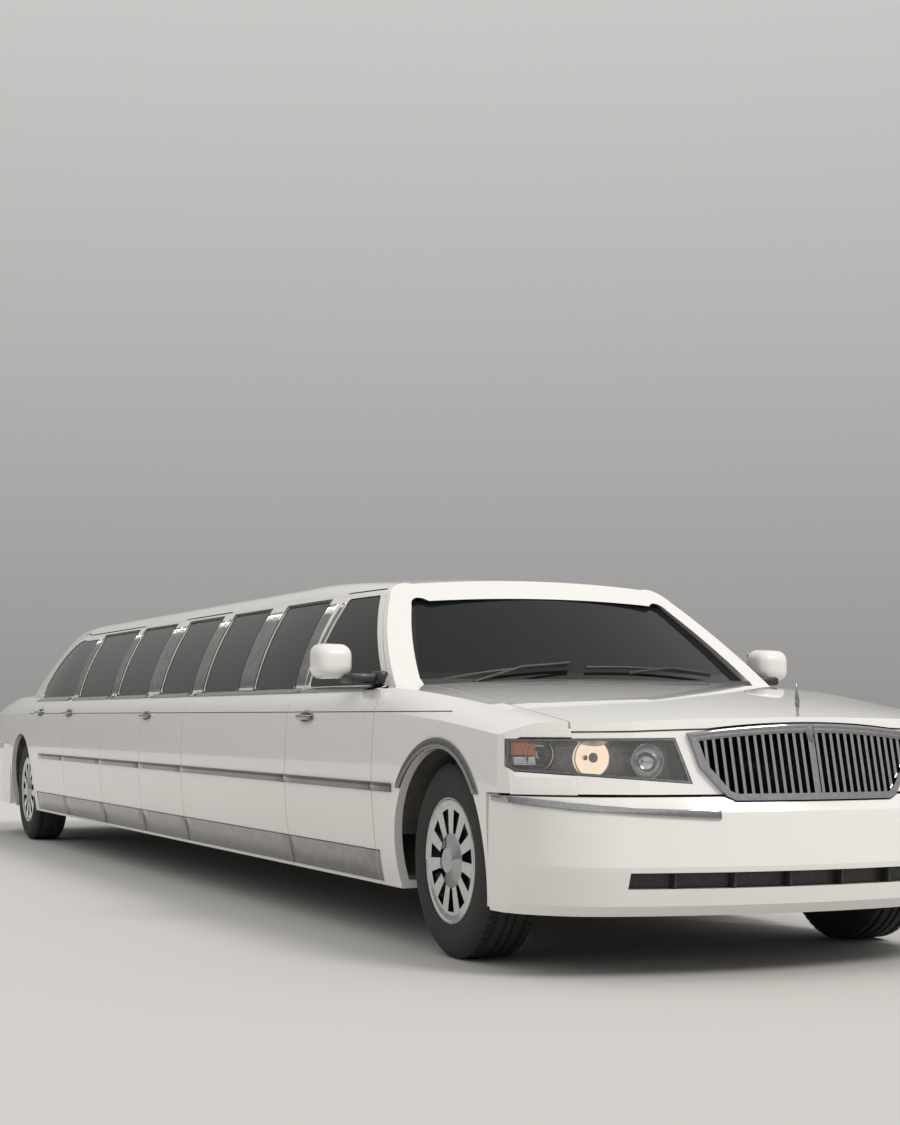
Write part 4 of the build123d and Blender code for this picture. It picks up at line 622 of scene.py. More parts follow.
def outward(start: Flat, end: Flat, middle: Flat) -> Flat:
    """Gives the unit normal of an outline's edge that points away from its middle."""
    run, rise = end[0] - start[0], end[1] - start[1]
    length = (run * run + rise * rise) ** 0.5
    normal = (rise / length, -run / length)
    away = (start[0] - middle[0]) * normal[0] + (start[1] - middle[1]) * normal[1]
    return normal if away > 0 else (-normal[0], -normal[1])


def rectangle(across: Flat, up: Flat) -> list[Flat]:
    """Gives the outline of an upright rectangle."""
    return [(across[0], up[0]), (across[1], up[0]), (across[1], up[1]), (across[0], up[1])]


def spread(facing: Facing, stand: float) -> Callable[[Flat], Vector]:
    """Gives the function that places an outline's flat point in space."""
    axis, sign = facing.value
    if axis == 0:
        return lambda flat: Vector((stand, flat[0], flat[1]))
    return lambda flat: Vector((flat[0], sign * abs(stand), flat[1]))


def sheet(name: str, outline: list[Flat], facing: Facing, stand: float, step: float,
          grow: float = 0.0) -> bpy.types.Object:
    """Cuts a flat grid to a convex outline.

    Args:
        name: the piece's name.
        outline: the corners: along the car, or across it, and up.
        facing: the way that the sheet looks.
        stand: where the flat sheet stands along its facing axis.
        step: the size of the grid's cells.
        grow: how far the outline is pushed outwards.

    Returns:
        The flat sheet.
    """
    deselect()
    axis = facing.value[0]
    lows = [min(p[i] for p in outline) - grow for i in (0, 1)]
    highs = [max(p[i] for p in outline) + grow for i in (0, 1)]
    middle = ((lows[0] + highs[0]) / 2, (lows[1] + highs[1]) / 2)
    place = spread(facing, stand)
    size = (highs[0] - lows[0], highs[1] - lows[1])
    cells = [max(1, round(extent / step)) for extent in size]
    bpy.ops.mesh.primitive_grid_add(x_subdivisions=cells[0], y_subdivisions=cells[1], size=1,
                                    location=place(middle),
                                    rotation=(pi / 2, 0, pi / 2 if axis == 0 else 0))
    piece = settle(name)
    grown = (1, size[0], size[1]) if axis == 0 else (size[0], 1, size[1])
    edit(piece, lambda: bpy.ops.transform.resize(value=grown, center_override=place(middle)))
    trim(piece, outline, place, middle, grow)
    return piece


def trim(piece: bpy.types.Object, outline: list[Flat], place: Callable[[Flat], Vector],
         middle: Flat, grow: float) -> None:
    """Cuts away what lies outside an outline's edges."""
    for start, end in zip(outline, outline[1:] + outline[:1]):
        normal = outward(start, end, middle)
        at = place((start[0] + normal[0] * grow, start[1] + normal[1] * grow))
        way = place((start[0] + normal[0], start[1] + normal[1])) - place(start)
        edit(piece, lambda: bpy.ops.mesh.bisect(plane_co=at, plane_no=way, clear_outer=True))


def band(name: str, outline: list[Flat], facing: Facing, stand: float, width: float,
         grow: float) -> bpy.types.Object:
    """Cuts a flat frame that runs round a convex outline, outwards to grow and width wide."""
    piece = sheet(name, outline, facing, stand, 10.0, grow)
    edit(piece,
         lambda: bpy.ops.mesh.inset(thickness=width, use_boundary=True),
         lambda: bpy.ops.mesh.delete(type="FACE"),
         whole,
         lambda: bpy.ops.mesh.subdivide(number_cuts=10))
    return piece


def ribbon(name: str, points: list[Point], shift: Point, thickness: float, edge: float,
           cuts: int = 0, target: bpy.types.Object | None = None) -> bpy.types.Object:
    """Raises a thin strip on a line, facing forwards.

    Args:
        name: the piece's name.
        points: the line along its foot.
        shift: the way from its foot to its top.
        thickness: how thick it is, outwards from a target and else inwards.
        edge: how far its edges are rounded.
        cuts: how many times each edge is cut.
        target: a surface that it is laid on.

    Returns:
        The closed strip.
    """
    piece = path(name, points)
    edit(piece, pull(shift))
    if cuts:
        edit(piece, lambda: bpy.ops.mesh.subdivide(number_cuts=cuts))
    edit(piece, lambda: bpy.ops.mesh.normals_make_consistent(inside=False))
    if target:
        modify(piece, "SHRINKWRAP", target=target, wrap_method="NEAREST_SURFACEPOINT")
    turn_to(piece, Facing.FRONT)
    modify(piece, "SOLIDIFY", thickness=thickness, offset=1.0 if target else -1.0)
    bevel(piece, edge)
    smooth(piece, ROUND_ANGLE)
    return piece


def wall(name: str, line: list[Flat], low: float, high: float, thickness: float,
         lean: float = 0.0) -> bpy.types.Object:
    """Raises a thin wall on a line in plan, leaning back by a share of its height."""
    rise = high - low
    return ribbon(name, [(x, y, low) for x, y in line], (-lean * rise, 0, rise), thickness,
                  min(0.0018, thickness * 0.3), 2)


def drape(piece: bpy.types.Object, target: bpy.types.Object, facing: Facing, thickness: float,
          edge: float = 0.001, offset: float = 1.0) -> bpy.types.Object:
    """Lays a flat sheet on a surface, drops what misses it and thickens it outwards."""
    axis, sign = facing.value
    before = {v.index: v.co[axis] for v in piece.data.vertices}
    modify(piece, "SHRINKWRAP", target=target, wrap_method="PROJECT", use_project_x=axis == 0,
           use_project_y=axis == 1, use_project_z=False, use_negative_direction=sign > 0,
           use_positive_direction=sign < 0)
    choose(piece, lambda vertex: abs(vertex.co[axis] - before[vertex.index]) < MISSED)
    bpy.ops.mesh.delete(type="VERT")
    bpy.ops.object.mode_set(mode="OBJECT")
    turn_to(piece, facing)
    modify(piece, "SOLIDIFY", thickness=thickness, offset=offset)
    if edge:
        bevel(piece, edge)
    smooth(piece)
    return piece


def lay(name: str, outline: list[Flat], side: Side, step: float, target: bpy.types.Object,
        thickness: float, edge: float) -> bpy.types.Object:
    """Cuts a sheet to an outline beside the car and drapes it on a surface of that side."""
    piece = sheet(name, outline, side.facing, SIDE_STAND, step)
    return drape(piece, target, side.facing, thickness, edge)


def oval(x: float, z: float, length: float, height: float) -> list[Flat]:
    """Gives the outline of an ellipse."""
    turns = [2 * pi * i / OVAL_SIDES for i in range(OVAL_SIDES)]
    return [(x + length / 2 * cos(turn), z + height / 2 * sin(turn)) for turn in turns]


def cushion(name: str, low: Point, high: Point, lean: float = 0.0) -> bpy.types.Object:
    """Makes a crowned cushion between two corners, leaning by an angle about its foot."""
    piece = box(name, low, high)
    thinnest = min(abs(b - a) for a, b in zip(low, high))
    modify(piece, "BEVEL", width=thinnest * CUSHION_EDGE, segments=3)
    edit(piece, lambda: bpy.ops.mesh.subdivide(number_cuts=3))
    modify(piece, "CAST", factor=CUSHION_CROWN)
    modify(piece, "SUBSURF", levels=1, render_levels=1)
    if lean:
        foot = ((low[0] + high[0]) / 2, (low[1] + high[1]) / 2, low[2])
        edit(piece, lambda: bpy.ops.transform.rotate(value=radians(lean), orient_axis="Y",
                                                     center_override=foot))
    smooth(piece, ROUND_ANGLE)
    return piece


def fit(piece: bpy.types.Object, finish: Finish, body: str = "chassis") -> bpy.types.Object:
    """Gives a piece its finish and the body that it rides on."""
    piece.data.materials.clear()
    piece.data.materials.append(finish.material())
    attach(piece, body)
    LOG.info("%s on %s", piece.name, body)
    return piece


# Skin that the trim is laid on
SKIN_NODES = ["roof", "side_panels", "quarter_panels", "fenders", "front_door_right",
              "front_door_left", "fifth_door_right", "club_door_right", "rear_door_right",
              "rear_door_left", "front_bumper", "rear_bumper", "trunk_lid", "hood",
              "header_panel", "rear_deck"]


def make_skin() -> bpy.types.Object:
    """Copies the outer panels into one surface, which is removed at the end."""
    pick(*[NODES[name] for name in SKIN_NODES])
    bpy.ops.object.duplicate()
    bpy.context.view_layer.objects.active = bpy.context.selected_objects[0]
    bpy.ops.object.join()
    return bpy.context.active_object


@dataclass
class Studio:
    """The floor, the light and the camera."""

    eye: Point = (10.620, -3.711, 0.868)
    turn: float = 23.01
    lens: float = 64.17
    shift: float = 0.1363
    floor_size: float = 120.0
    floor_colour: tuple = colour(0.60, 0.59, 0.575)
    sky: tuple = colour(0.95, 0.94, 0.92)
    horizon: tuple = colour(0.36, 0.35, 0.34)
    sky_strength: float = 0.85
    sun_strength: float = 1.6
    sun_turn: Point = (48.0, 0.0, 115.0)
    sun_width: float = 18.0
    sun_colour: Point = (1.0, 0.97, 0.92)

    def build(self) -> None:
        """Makes the stage."""
        self.make_floor()
        self.make_sky()
        self.make_sun()
        self.make_camera()

    def make_floor(self) -> None:
        """Lays a plain pale floor."""
        deselect()
        bpy.ops.mesh.primitive_plane_add(size=self.floor_size)
        floor = settle("floor")
        shader = Shader("pale_floor")
        shader.set(Base_Color=self.floor_colour, Roughness=0.85)
        floor.data.materials.append(shader.material)

    def make_sky(self) -> None:
        """Lights the world from a pale sky that is a little darker at the horizon."""
        world = bpy.data.worlds.new("studio")
        world.use_nodes = True
        tree = world.node_tree
        place, split, rise, shade = (tree.nodes.new(f"ShaderNode{kind}") for kind in
                                     ("TexCoord", "SeparateXYZ", "MapRange", "Mix"))
        shade.data_type = "RGBA"
        rise.inputs[1].default_value = 0.0
        rise.inputs[2].default_value = 0.6
        shade.inputs[6].default_value = self.horizon
        shade.inputs[7].default_value = self.sky
        tree.links.new(place.outputs["Generated"], split.inputs[0])
        tree.links.new(split.outputs["Z"], rise.inputs[0])
        tree.links.new(rise.outputs[0], shade.inputs[0])
        tree.links.new(shade.outputs[2], tree.nodes["Background"].inputs["Color"])
        tree.nodes["Background"].inputs["Strength"].default_value = self.sky_strength
        bpy.context.scene.world = world

    def make_sun(self) -> None:
        """Adds one broad soft light from above the right front."""
        deselect()
        bpy.ops.object.light_add(type="SUN", rotation=[radians(a) for a in self.sun_turn])
        sun = bpy.context.active_object
        sun.data.energy = self.sun_strength
        sun.data.angle = radians(self.sun_width)
        sun.data.color = self.sun_colour

    def make_camera(self) -> None:
        """Places the level camera of the photograph."""
        deselect()
        look = Vector((-cos(radians(self.turn)), sin(radians(self.turn)), 0))
        bpy.ops.object.camera_add(location=self.eye,
                                  rotation=look.to_track_quat("-Z", "Y").to_euler())
        camera = bpy.context.active_object
        camera.data.sensor_width = 36.0
        camera.data.lens = self.lens
        camera.data.shift_y = self.shift
        camera.data.clip_end = 300.0
        bpy.context.scene.camera = camera


@dataclass(frozen=True)
class Stretch:
    """A run of the body side that one body carries, in distances from the front axle.

    Its relief is the extra room that its raised strips leave at a hinge behind them.
    """

    body: str
    start: float
    end: float
    relief: float = 0.0


GAP = 0.0045
SIDE_RUNS = {
    Side.RIGHT: [
        Stretch("chassis", -0.403, -0.600), Stretch("front_door_right", -0.600, -1.660),
        Stretch("chassis", -1.660, -3.335), Stretch("fifth_door_right", -3.335, -4.205, 0.014),
        Stretch("chassis", -4.205, -5.135), Stretch("club_door_right", -5.135, -6.165),
        Stretch("rear_door_right", -6.165, -6.900)],
    Side.LEFT: [
        Stretch("chassis", -0.403, -0.600), Stretch("front_door_left", -0.600, -1.660),
        Stretch("chassis", -1.660, -6.165), Stretch("rear_door_left", -6.165, -6.900)],
}


@dataclass
class SideTrim:
    """Bright strips, belt moulding, rocker cladding and fine lines along one side.

    Each kind of strip has its lower height, its upper height and its thickness. The ends are
    those of the whole side.
    """

    side: Side
    skin: bpy.types.Object
    strip: Point = (0.582, 0.617, 0.009)
    belt: Point = (0.966, 0.984, 0.006)
    rocker: Point = (0.236, 0.352, 0.0015)
    lip: Point = (0.352, 0.356, 0.003)
    line: Point = (0.882, 0.886, 0.0008)
    belt_ends: Flat = (-0.735, -7.280)
    rocker_ends: Flat = (-0.560, -7.080)
    line_ends: Flat = (0.037, -7.300)
    cell: float = 0.12
    edge: float = 0.003

    def run(self, name: str, start: float, end: float, kind: Point) -> bpy.types.Object:
        """Lays one straight strip of a kind on the skin between two places."""
        low, high, thick = kind
        return lay(name, rectangle((front(start), front(end)), (low, high)), self.side, self.cell,
                   self.skin, thick, min(self.edge, thick * 0.3))

    def build(self) -> None:
        """Makes each body's bright and dark strips."""
        runs = SIDE_RUNS[self.side]
        for number, run in enumerate(runs):
            name = f"{run.body}_{self.side.word}_{number}"
            start, end = run.start - GAP, run.end + GAP
            first, last = number == 0, run is runs[-1]
            bright = [self.run("strip", run.start if first else start,
                               run.end if last else end + run.relief, self.strip)]
            rocker_start = self.rocker_ends[0] if first else start
            rocker_end = self.rocker_ends[1] if last else end
            rocker = self.run(f"rocker_{name}", rocker_start, rocker_end, self.rocker)
            fit(rocker, STAINLESS, run.body)
            if not first:
                belt_start = self.belt_ends[0] if number == 1 else start
                belt_end = self.belt_ends[1] if last else end + run.relief
                bright.append(self.run("belt", belt_start, belt_end, self.belt))
            dark = [self.run("lip", rocker_start, rocker_end, self.lip),
                    self.run("line", self.line_ends[0] if first else start,
                             self.line_ends[1] if last else end, self.line)]
            fit(join(f"bright_{name}", bright), STRIP, run.body)
            fit(join(f"dark_{name}", dark), BLACK, run.body)


@dataclass
class Pillars:
    """Ribbed bright caps on the pillars between the side windows, and seals round the glass."""

    side: Side
    skin: bpy.types.Object
    sill: float = 0.992
    top: float = 1.378
    lean: float = 0.075
    front_lean: float = 0.030
    seal: float = 0.010
    rib_pitch: float = 0.02
    rib_edges: Flat = (0.2, 0.8)
    rib_inset: float = 0.012
    cap_low: float = 1.0
    cap_high: float = 1.362

    def windows(self) -> dict[str, tuple[str, float, float]]:
        """Gives each window's body and its front and rear edge at the sill."""
        word = self.side.word
        doors = self.side is Side.RIGHT
        return {
            "a": ("chassis", -1.785, -2.375),
            "b": ("chassis", -2.630, -3.230),
            "c": (f"fifth_door_{word}" if doors else "chassis", -3.440, -4.070),
            "d": ("chassis", -4.355, -5.050),
            "e": (f"club_door_{word}" if doors else "chassis", -5.215, -6.075),
        }

    def slanted(self, start: float, end: float, low: float, high: float,
                lean: float | None = None) -> list[Flat]:
        """Gives the outline of a strip that leans back as the pillars do."""
        share = (self.lean if lean is None else lean) / (self.top - self.sill)
        drop, rise = (low - self.sill) * share, (high - self.sill) * share
        return [(front(start) - drop, low), (front(start) - rise, high),
                (front(end) - rise, high), (front(end) - drop, low)]

    def caps(self) -> list[tuple[str, float, float]]:
        """Lists each cap's body and edges at the sill, from the front to the rear."""
        word = self.side.word
        ahead = [(f"front_door_{word}", -1.618, -1.654), ("chassis", -1.668, -1.772),
                 ("chassis", -2.390, -2.615)]
        behind = [(f"rear_door_{word}", -6.172, -6.205)]
        if self.side is Side.LEFT:
            return ahead + [("chassis", -3.245, -3.425), ("chassis", -4.085, -4.340),
                            ("chassis", -5.065, -5.200), ("chassis", -6.090, -6.158)] + behind
        return ahead + [
            ("chassis", -3.245, -3.328), (f"fifth_door_{word}", -3.342, -3.425),
            (f"fifth_door_{word}", -4.085, -4.198), ("chassis", -4.212, -4.340),
            ("chassis", -5.065, -5.128), (f"club_door_{word}", -5.142, -5.200),
            (f"club_door_{word}", -6.090, -6.158)] + behind

    def cap(self, name: str, body: str, start: float, end: float) -> None:
        """Makes one cap as a row of upright ribs on a thin plate."""
        lean = self.front_lean if body.startswith("front_door") else None
        parts = [lay(name, self.slanted(start, end, self.cap_low, self.cap_high, lean), self.side,
                     0.04, self.skin, 0.0022, 0.0005)]
        width = start - end
        count = max(2, round(width / self.rib_pitch))
        for i in range(count):
            low, high = (start - width * (i + share) / count for share in self.rib_edges)
            rib = self.slanted(low, high, self.cap_low + self.rib_inset,
                               self.cap_high - self.rib_inset, lean)
            parts.append(lay("rib", rib, self.side, 0.05, self.skin, 0.0042, 0.0012))
        fit(join(name, parts), STAINLESS, body)

    def build(self) -> None:
        """Makes the caps and seals of one side."""
        facing = self.side.facing
        for number, (body, start, end) in enumerate(self.caps()):
            self.cap(f"pillar_cap_{self.side.word}_{number}", body, start, end)
        for letter, (body, start, end) in self.windows().items():
            outline = self.slanted(start, end, self.sill, self.top)
            seal = band(f"seal_{letter}_{self.side.word}", outline, facing, SIDE_STAND, self.seal,
                        self.seal)
            fit(drape(seal, self.skin, facing, 0.0025, 0.0), RUBBER, body)


@dataclass
class DoorHandles:
    """Bright oval cups with a pull bar, a black oval in each cup as painted shadow of its recess,
    and a lock beside each.
    """

    skin: bpy.types.Object
    size: Point = (0.150, 0.014, 0.021)
    cup: Flat = (0.190, 0.060)
    hollow_share: float = 0.7
    cell: float = 0.03
    stand: float = 0.028
    root: float = 0.012
    post_half: float = 0.008
    post_inset: float = 0.014
    lock_gap: float = 0.045
    lock_drop: float = 0.004
    lock_radius: float = 0.011
    places: list = field(default_factory=lambda: [
        ("front_door_right", -1.400, 0.862), ("fifth_door_right", -4.077, 0.866),
        ("club_door_right", -6.036, 0.884), ("rear_door_right", -6.918, 0.890),
        ("front_door_left", -1.400, 0.862), ("rear_door_left", -6.918, 0.890)])
    skin_y: float = 0.968

    def build(self) -> None:
        """Makes one handle for each door."""
        for body, x, z in self.places:
            side = Side.RIGHT if body.endswith("right") else Side.LEFT
            sign, half = side.value, self.post_half
            y, out, root = sign * self.skin_y, sign * self.stand, sign * self.root
            length, thick, height = self.size
            x0, x1 = front(x) - length / 2, front(x) + length / 2
            grip = block("grip", (x0, y + out - sign * thick, z - height / 2),
                         (x1, y + out, z + height / 2), 0.006)
            posts = [block("post", (end - half, y - root, z - half),
                           (end + half, y + out - sign * 0.006, z + half))
                     for end in (x0 + self.post_inset, x1 - self.post_inset)]
            lock_x, lock_z = x0 - self.lock_gap, z - self.lock_drop
            lock = rod("lock", (lock_x, y - root, lock_z), (lock_x, y + sign * 0.003, lock_z),
                       self.lock_radius)
            cup = lay("cup", oval(front(x), z, *self.cup), side, self.cell, self.skin, 0.004, 0.001)
            # A black oval over the cup: painted shadow in the handle's recess
            shadow_outline = oval(front(x), z, length, self.cup[1] * self.hollow_share)
            painted_recess_shadow = lay(f"{body}_handle_hollow", shadow_outline, side, self.cell, self.skin, 0.005,
                         0.0005)
            fit(join(f"{body}_handle", [grip, *posts, lock, cup]), CHROME, body)
            fit(painted_recess_shadow, BLACK, body)


@dataclass
class Wheel:
    """A tyre with ribs and tread blocks, and a faceted cap on the polished wheel."""

    node: str
    body: str
    side: Side
    radius: float = 0.351
    groove_depth: float = 0.008
    lugs: int = 64
    lug_share: float = 0.78
    cap_radius: float = 0.100

    def build(self) -> None:
        """Makes the tyre and the wheel's cap."""
        middle = centre(self.node)
        place = (middle.x, middle.y, middle.z)
        fit(self.tyre(place), TYRE, self.body)
        low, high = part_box(self.node.replace("tyre", "rim"))
        face = max(abs(low.y), abs(high.y)) - abs(middle.y)
        cap = turned(f"{self.body}_hub", place, self.side,
                     [(0.0, face + 0.012), (0.045, face + 0.011), (0.050, face + 0.007),
                      (self.cap_radius - 0.012, face + 0.001), (self.cap_radius, face - 0.006),
                      (self.cap_radius, face - 0.026), (0.0, face - 0.026)], 48)
        lip = turned(f"{self.body}_lip", place, self.side,
                     [(0.214, face - 0.003), (0.220, face + 0.002), (0.227, face + 0.001),
                      (0.229, face - 0.006), (0.216, face - 0.008), (0.214, face - 0.003)], 72)
        fit(cap, CHROME, self.body)
        fit(lip, ALLOY, self.body)

    def tyre(self, place: Point) -> bpy.types.Object:
        """Makes the tyre: a turned casing with grooves, and blocks round its shoulders."""
        r = self.radius
        groove = r - self.groove_depth
        profile = [(0.227, 0.100), (0.232, 0.108), (0.262, 0.1135), (0.290, 0.1145),
                   (0.318, 0.109), (0.336, 0.098), (r - 0.006, 0.086)]
        ribs = [(r - 0.002, 0.062), (groove, 0.060), (groove, 0.052), (r - 0.001, 0.050),
                (r, 0.022), (groove, 0.020), (groove, 0.012), (r, 0.010)]
        outer = profile + [(groove, 0.080), (groove, 0.066)] + ribs
        inner = [(radius, -out) for radius, out in reversed(outer)]
        casing = turned("casing", place, self.side,
                        outer + inner + [(0.218, -0.100), (0.218, 0.100), (0.227, 0.100)], 96)
        rows = [self.lug_row(place, edge) for edge in (-1, 1)]
        tyre = join(f"{self.body}_tyre", [casing, *rows])
        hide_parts(self.node)
        return tyre

    def lug_row(self, place: Point, edge: int) -> bpy.types.Object:
        """Makes one ring of shoulder blocks."""
        x, y, z = place
        width = 2 * pi * self.radius / self.lugs * self.lug_share
        top = z + self.radius
        lug = block("lug", (x - width / 2, y + edge * 0.066, top - 0.012),
                    (x + width / 2, y + edge * 0.090, top - 0.0025), 0.0015)
        edit(lug, lambda: bpy.ops.mesh.spin(steps=self.lugs, dupli=True, angle=2 * pi, center=place,
                                            axis=(0, 1, 0)))
        return lug


NOSE_LINE = [(0.600, 0.825), (0.703, 0.767), (0.780, 0.709), (0.838, 0.656), (0.880, 0.611),
             (0.910, 0.575), (0.937, 0.538), (0.980, 0.440)]
NOSE_RADIUS = 1.850
NOSE_MIDDLE = 0.925
NOSE_LEVEL = 0.740
NOSE_LEAN = 0.25


def nose_x(y: float, z: float = NOSE_LEVEL) -> float:
    """Gives where the nose's outer surface lies, at a distance across and a height."""
    across = abs(y)
    if across <= NOSE_LINE[0][0]:
        x = NOSE_MIDDLE - NOSE_RADIUS + (NOSE_RADIUS ** 2 - across ** 2) ** 0.5
    else:
        (y0, x0), (y1, x1) = next(pair for pair in zip(NOSE_LINE, NOSE_LINE[1:])
                                  if across <= pair[1][0])
        x = x0 + (x1 - x0) * (across - y0) / (y1 - y0)
    return front(x - NOSE_LEAN * (z - NOSE_LEVEL))


def nose_line(side: Side, start: float, end: float, z: float, back: float,
              count: int) -> list[Flat]:
    """Gives points in plan along the nose, some way behind its surface."""
    places = [start + (end - start) * i / count for i in range(count + 1)]
    return [(nose_x(y, z) - back, side.value * y) for y in places]


@dataclass
class FrontEnd:
    """Lamps, fender fronts, bumper strip, intake, grille mouldings, ornament, cowl and wipers."""

    lamp_outline: list = field(default_factory=lambda: [
        (0.472, 0.794), (0.932, 0.790), (0.937, 0.702), (0.919, 0.687), (0.434, 0.648)])
    bowls: list = field(default_factory=lambda: [
        (0.838, 0.740, 0.050, False), (0.703, 0.729, 0.064, True), (0.552, 0.719, 0.058, False)])
    stand: float = 1.2
    lamp_depth: float = 0.125
    lamp_rim: float = 0.007
    ring_thickness: float = 0.0025
    bulb_reach: float = 0.75
    bulb_length: float = 0.2
    bulb_radius: float = 0.14
    corner_y: Flat = (0.862, 0.928)
    amber_z: Flat = (0.738, 0.785)
    clear_z: Flat = (0.705, 0.733)
    fender_wall: Flat = (0.7727, 0.936)
    lower_z: Flat = (0.609, 0.690)
    upper_z: Flat = (0.7975, 0.826)
    upper_end: float = 0.900
    lamp_foot: float = 0.6715
    lamp_slope: float = 0.0778
    skin_gap: float = 0.0008
    strip_drop: float = 0.014
    strip_height: float = 0.026
    lip_radii: Flat = (0.404, 0.440)
    lip_foot: float = 0.600
    bumper_nose: float = 0.984
    bumper_bow: float = 0.086
    bumper_half: float = 0.6
    bar_places: tuple = (-0.5, -0.3, -0.1, 0.1, 0.3, 0.5)
    bar_depths: Flat = (0.055, 0.014)
    bar_half: float = 0.004
    bar_z: Flat = (0.302, 0.364)
    intake_depth: float = 0.050
    intake_step: float = 0.128
    intake_z: Flat = (0.298, 0.370)
    bumper_path: list = field(default_factory=lambda: [
        (0.455, 0.955, 0.600), (0.540, 0.948, 0.596), (0.620, 0.936, 0.591), (0.720, 0.890, 0.586),
        (0.800, 0.825, 0.579), (0.860, 0.740, 0.571), (0.902, 0.640, 0.563), (0.928, 0.500, 0.553),
        (0.942, 0.357, 0.544)])
    grille_half: float = 0.430
    grille_edge: float = 0.812
    grille_crown: float = 0.030
    mouldings: tuple = ((-0.030, -0.003, 0.021), (-0.012, -0.001, 0.026))
    wedge_foot: float = 0.745
    wiper_steps: int = 8
    wiper_points: list = field(default_factory=lambda: [
        ((-0.55, 0.03), (-0.12, 0.10), (-0.70, 0.09)), ((0.12, 0.03), (0.55, 0.10), (-0.05, 0.08))])

    def build(self) -> None:
        """Makes all front pieces."""
        for side in Side:
            self.lamp(side)
            self.lamp_corner(side)
            self.fender_front(side)
            self.bumper_strip(side)
            self.arch_lip(side)
        self.intake()
        self.grille_back()
        self.grille_top()
        self.ornament()
        self.cowl()
        self.wipers()

    def lamp(self, side: Side) -> None:
        """Makes the dark liner, the bowls and the bulbs of one headlamp."""
        sign = side.value
        lens = NODES["headlamp_lenses"]
        outline = [(sign * y, z) for y, z in self.lamp_outline]
        liner = drape(band("liner", outline, Facing.FRONT, front(self.stand), self.lamp_rim, 0.0),
                      lens, Facing.FRONT, self.lamp_depth, 0.0, -0.98)
        back = wall("back", nose_line(side, 0.425, 0.925, NOSE_LEVEL, self.lamp_depth, 12), 0.640,
                    0.800, 0.003)
        housing = fit(join(f"lamp_housing_{side.word}", [liner, back]), HOUSING)
        if side is Side.RIGHT:
            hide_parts("headlamps")
        bright, lit = [], []
        for y, z, radius, warm in self.bowls:
            x = nose_x(y + radius, z) - 0.010
            place = (x, sign * y, z)
            deselect()
            bpy.ops.mesh.primitive_torus_add(major_segments=40, minor_segments=8, location=place,
                                             rotation=(0, pi / 2, 0), major_radius=radius,
                                             minor_radius=self.ring_thickness)
            ring = settle("ring")
            smooth(ring, 80.0)
            bulb_x = x - radius * self.bulb_reach
            bulb = rod("bulb", (bulb_x - radius * self.bulb_length, place[1], z),
                       (bulb_x, place[1], z), radius * self.bulb_radius)
            bright += [ring, bulb]
            (lit if warm else bright).append(bowl_shell("bowl", place, radius))
        fit(join(f"lamp_bowls_{side.word}", bright), REFLECTOR)
        fit(join(f"lamp_lit_bowl_{side.word}", lit), WARM_LIGHT)

    def lamp_corner(self, side: Side) -> None:
        """Makes the amber and clear reflectors at the lamp's outer end."""
        line = nose_line(side, *self.corner_y, NOSE_LEVEL, 0.016, 6)
        for word, height, finish in (("amber", self.amber_z, AMBER),
                                     ("clear", self.clear_z, REFLECTOR)):
            fit(wall(f"{word}_corner_{side.word}", line, *height, 0.004, NOSE_LEAN), finish)

    def fender_front(self, side: Side) -> None:
        """Closes the fender's face below and above the headlamp."""
        start, end = self.fender_wall
        lower = wall("lower", nose_line(side, start, end, self.lower_z[0], self.skin_gap, 10),
                     *self.lower_z, 0.003, NOSE_LEAN)
        foot = (0, side.value * start, self.lamp_foot)
        edit(lower, lambda: bpy.ops.mesh.bisect(plane_co=foot,
                                                plane_no=(0, -side.value * self.lamp_slope, 1),
                                                clear_outer=True, use_fill=True))
        line = nose_line(side, start, self.upper_end, self.upper_z[0], self.skin_gap, 10)
        upper = wall("upper", line, *self.upper_z, 0.003, NOSE_LEAN)
        fit(join(f"fender_front_{side.word}", [lower, upper]), PAINT)

    def bumper_strip(self, side: Side) -> None:
        """Lays the bright strip that wraps the bumper's corner."""
        points = [(front(x), side.value * y, z - self.strip_drop) for x, y, z in self.bumper_path]
        fit(ribbon(f"bumper_strip_{side.word}", points, (0, 0, self.strip_height), 0.007, 0.0018, 4,
                   NODES["front_bumper"]), CHROME)

    def arch_lip(self, side: Side) -> None:
        """Lays the bright lip over the front wheel arch."""
        deselect()
        inner, outer = self.lip_radii
        place = (FRONT_AXLE, side.value * SIDE_STAND, AXLE_Z)
        bpy.ops.mesh.primitive_circle_add(vertices=128, radius=inner, location=place,
                                          rotation=(pi / 2, 0, 0))
        piece = settle(f"arch_lip_{side.word}")
        grow = outer / inner
        edit(piece,
             lambda: bpy.ops.mesh.extrude_region_move(),
             lambda: bpy.ops.transform.resize(value=(grow, 1, grow), center_override=place))
        edit(piece, lambda: bpy.ops.mesh.bisect(plane_co=(0, 0, self.lip_foot),
                                                plane_no=(0, 0, -1), clear_outer=True))
        fit(drape(piece, NODES["fenders"], side.facing, 0.007, 0.002), STRIP)

    def bumper_x(self, y: float) -> float:
        """Gives where the bumper's face lies, at a distance across."""
        return front(self.bumper_nose - self.bumper_bow * (y / self.bumper_half) ** 2)

    def intake(self) -> None:
        """Makes the bars and the dark back of the lower intake."""
        inner, outer = self.bar_depths
        bars = [block("bar", (self.bumper_x(y) - inner, y - self.bar_half, self.bar_z[0]),
                      (self.bumper_x(y) - outer, y + self.bar_half, self.bar_z[1]))
                for y in self.bar_places]
        line = [(self.bumper_x(y) - self.intake_depth, y)
                for y in (i * self.intake_step for i in range(-5, 6))]
        fit(join("intake_bars", [*bars, wall("back", line, *self.intake_z, 0.006)]), BLACK)

    def grille_back(self) -> None:
        """Darkens the space behind the grille's bars with a black plate: painted shade."""
        plate = block("grille_back", (front(0.780), -0.410, 0.600), (front(0.792), 0.410, 0.806))
        fit(plate, BLACK)

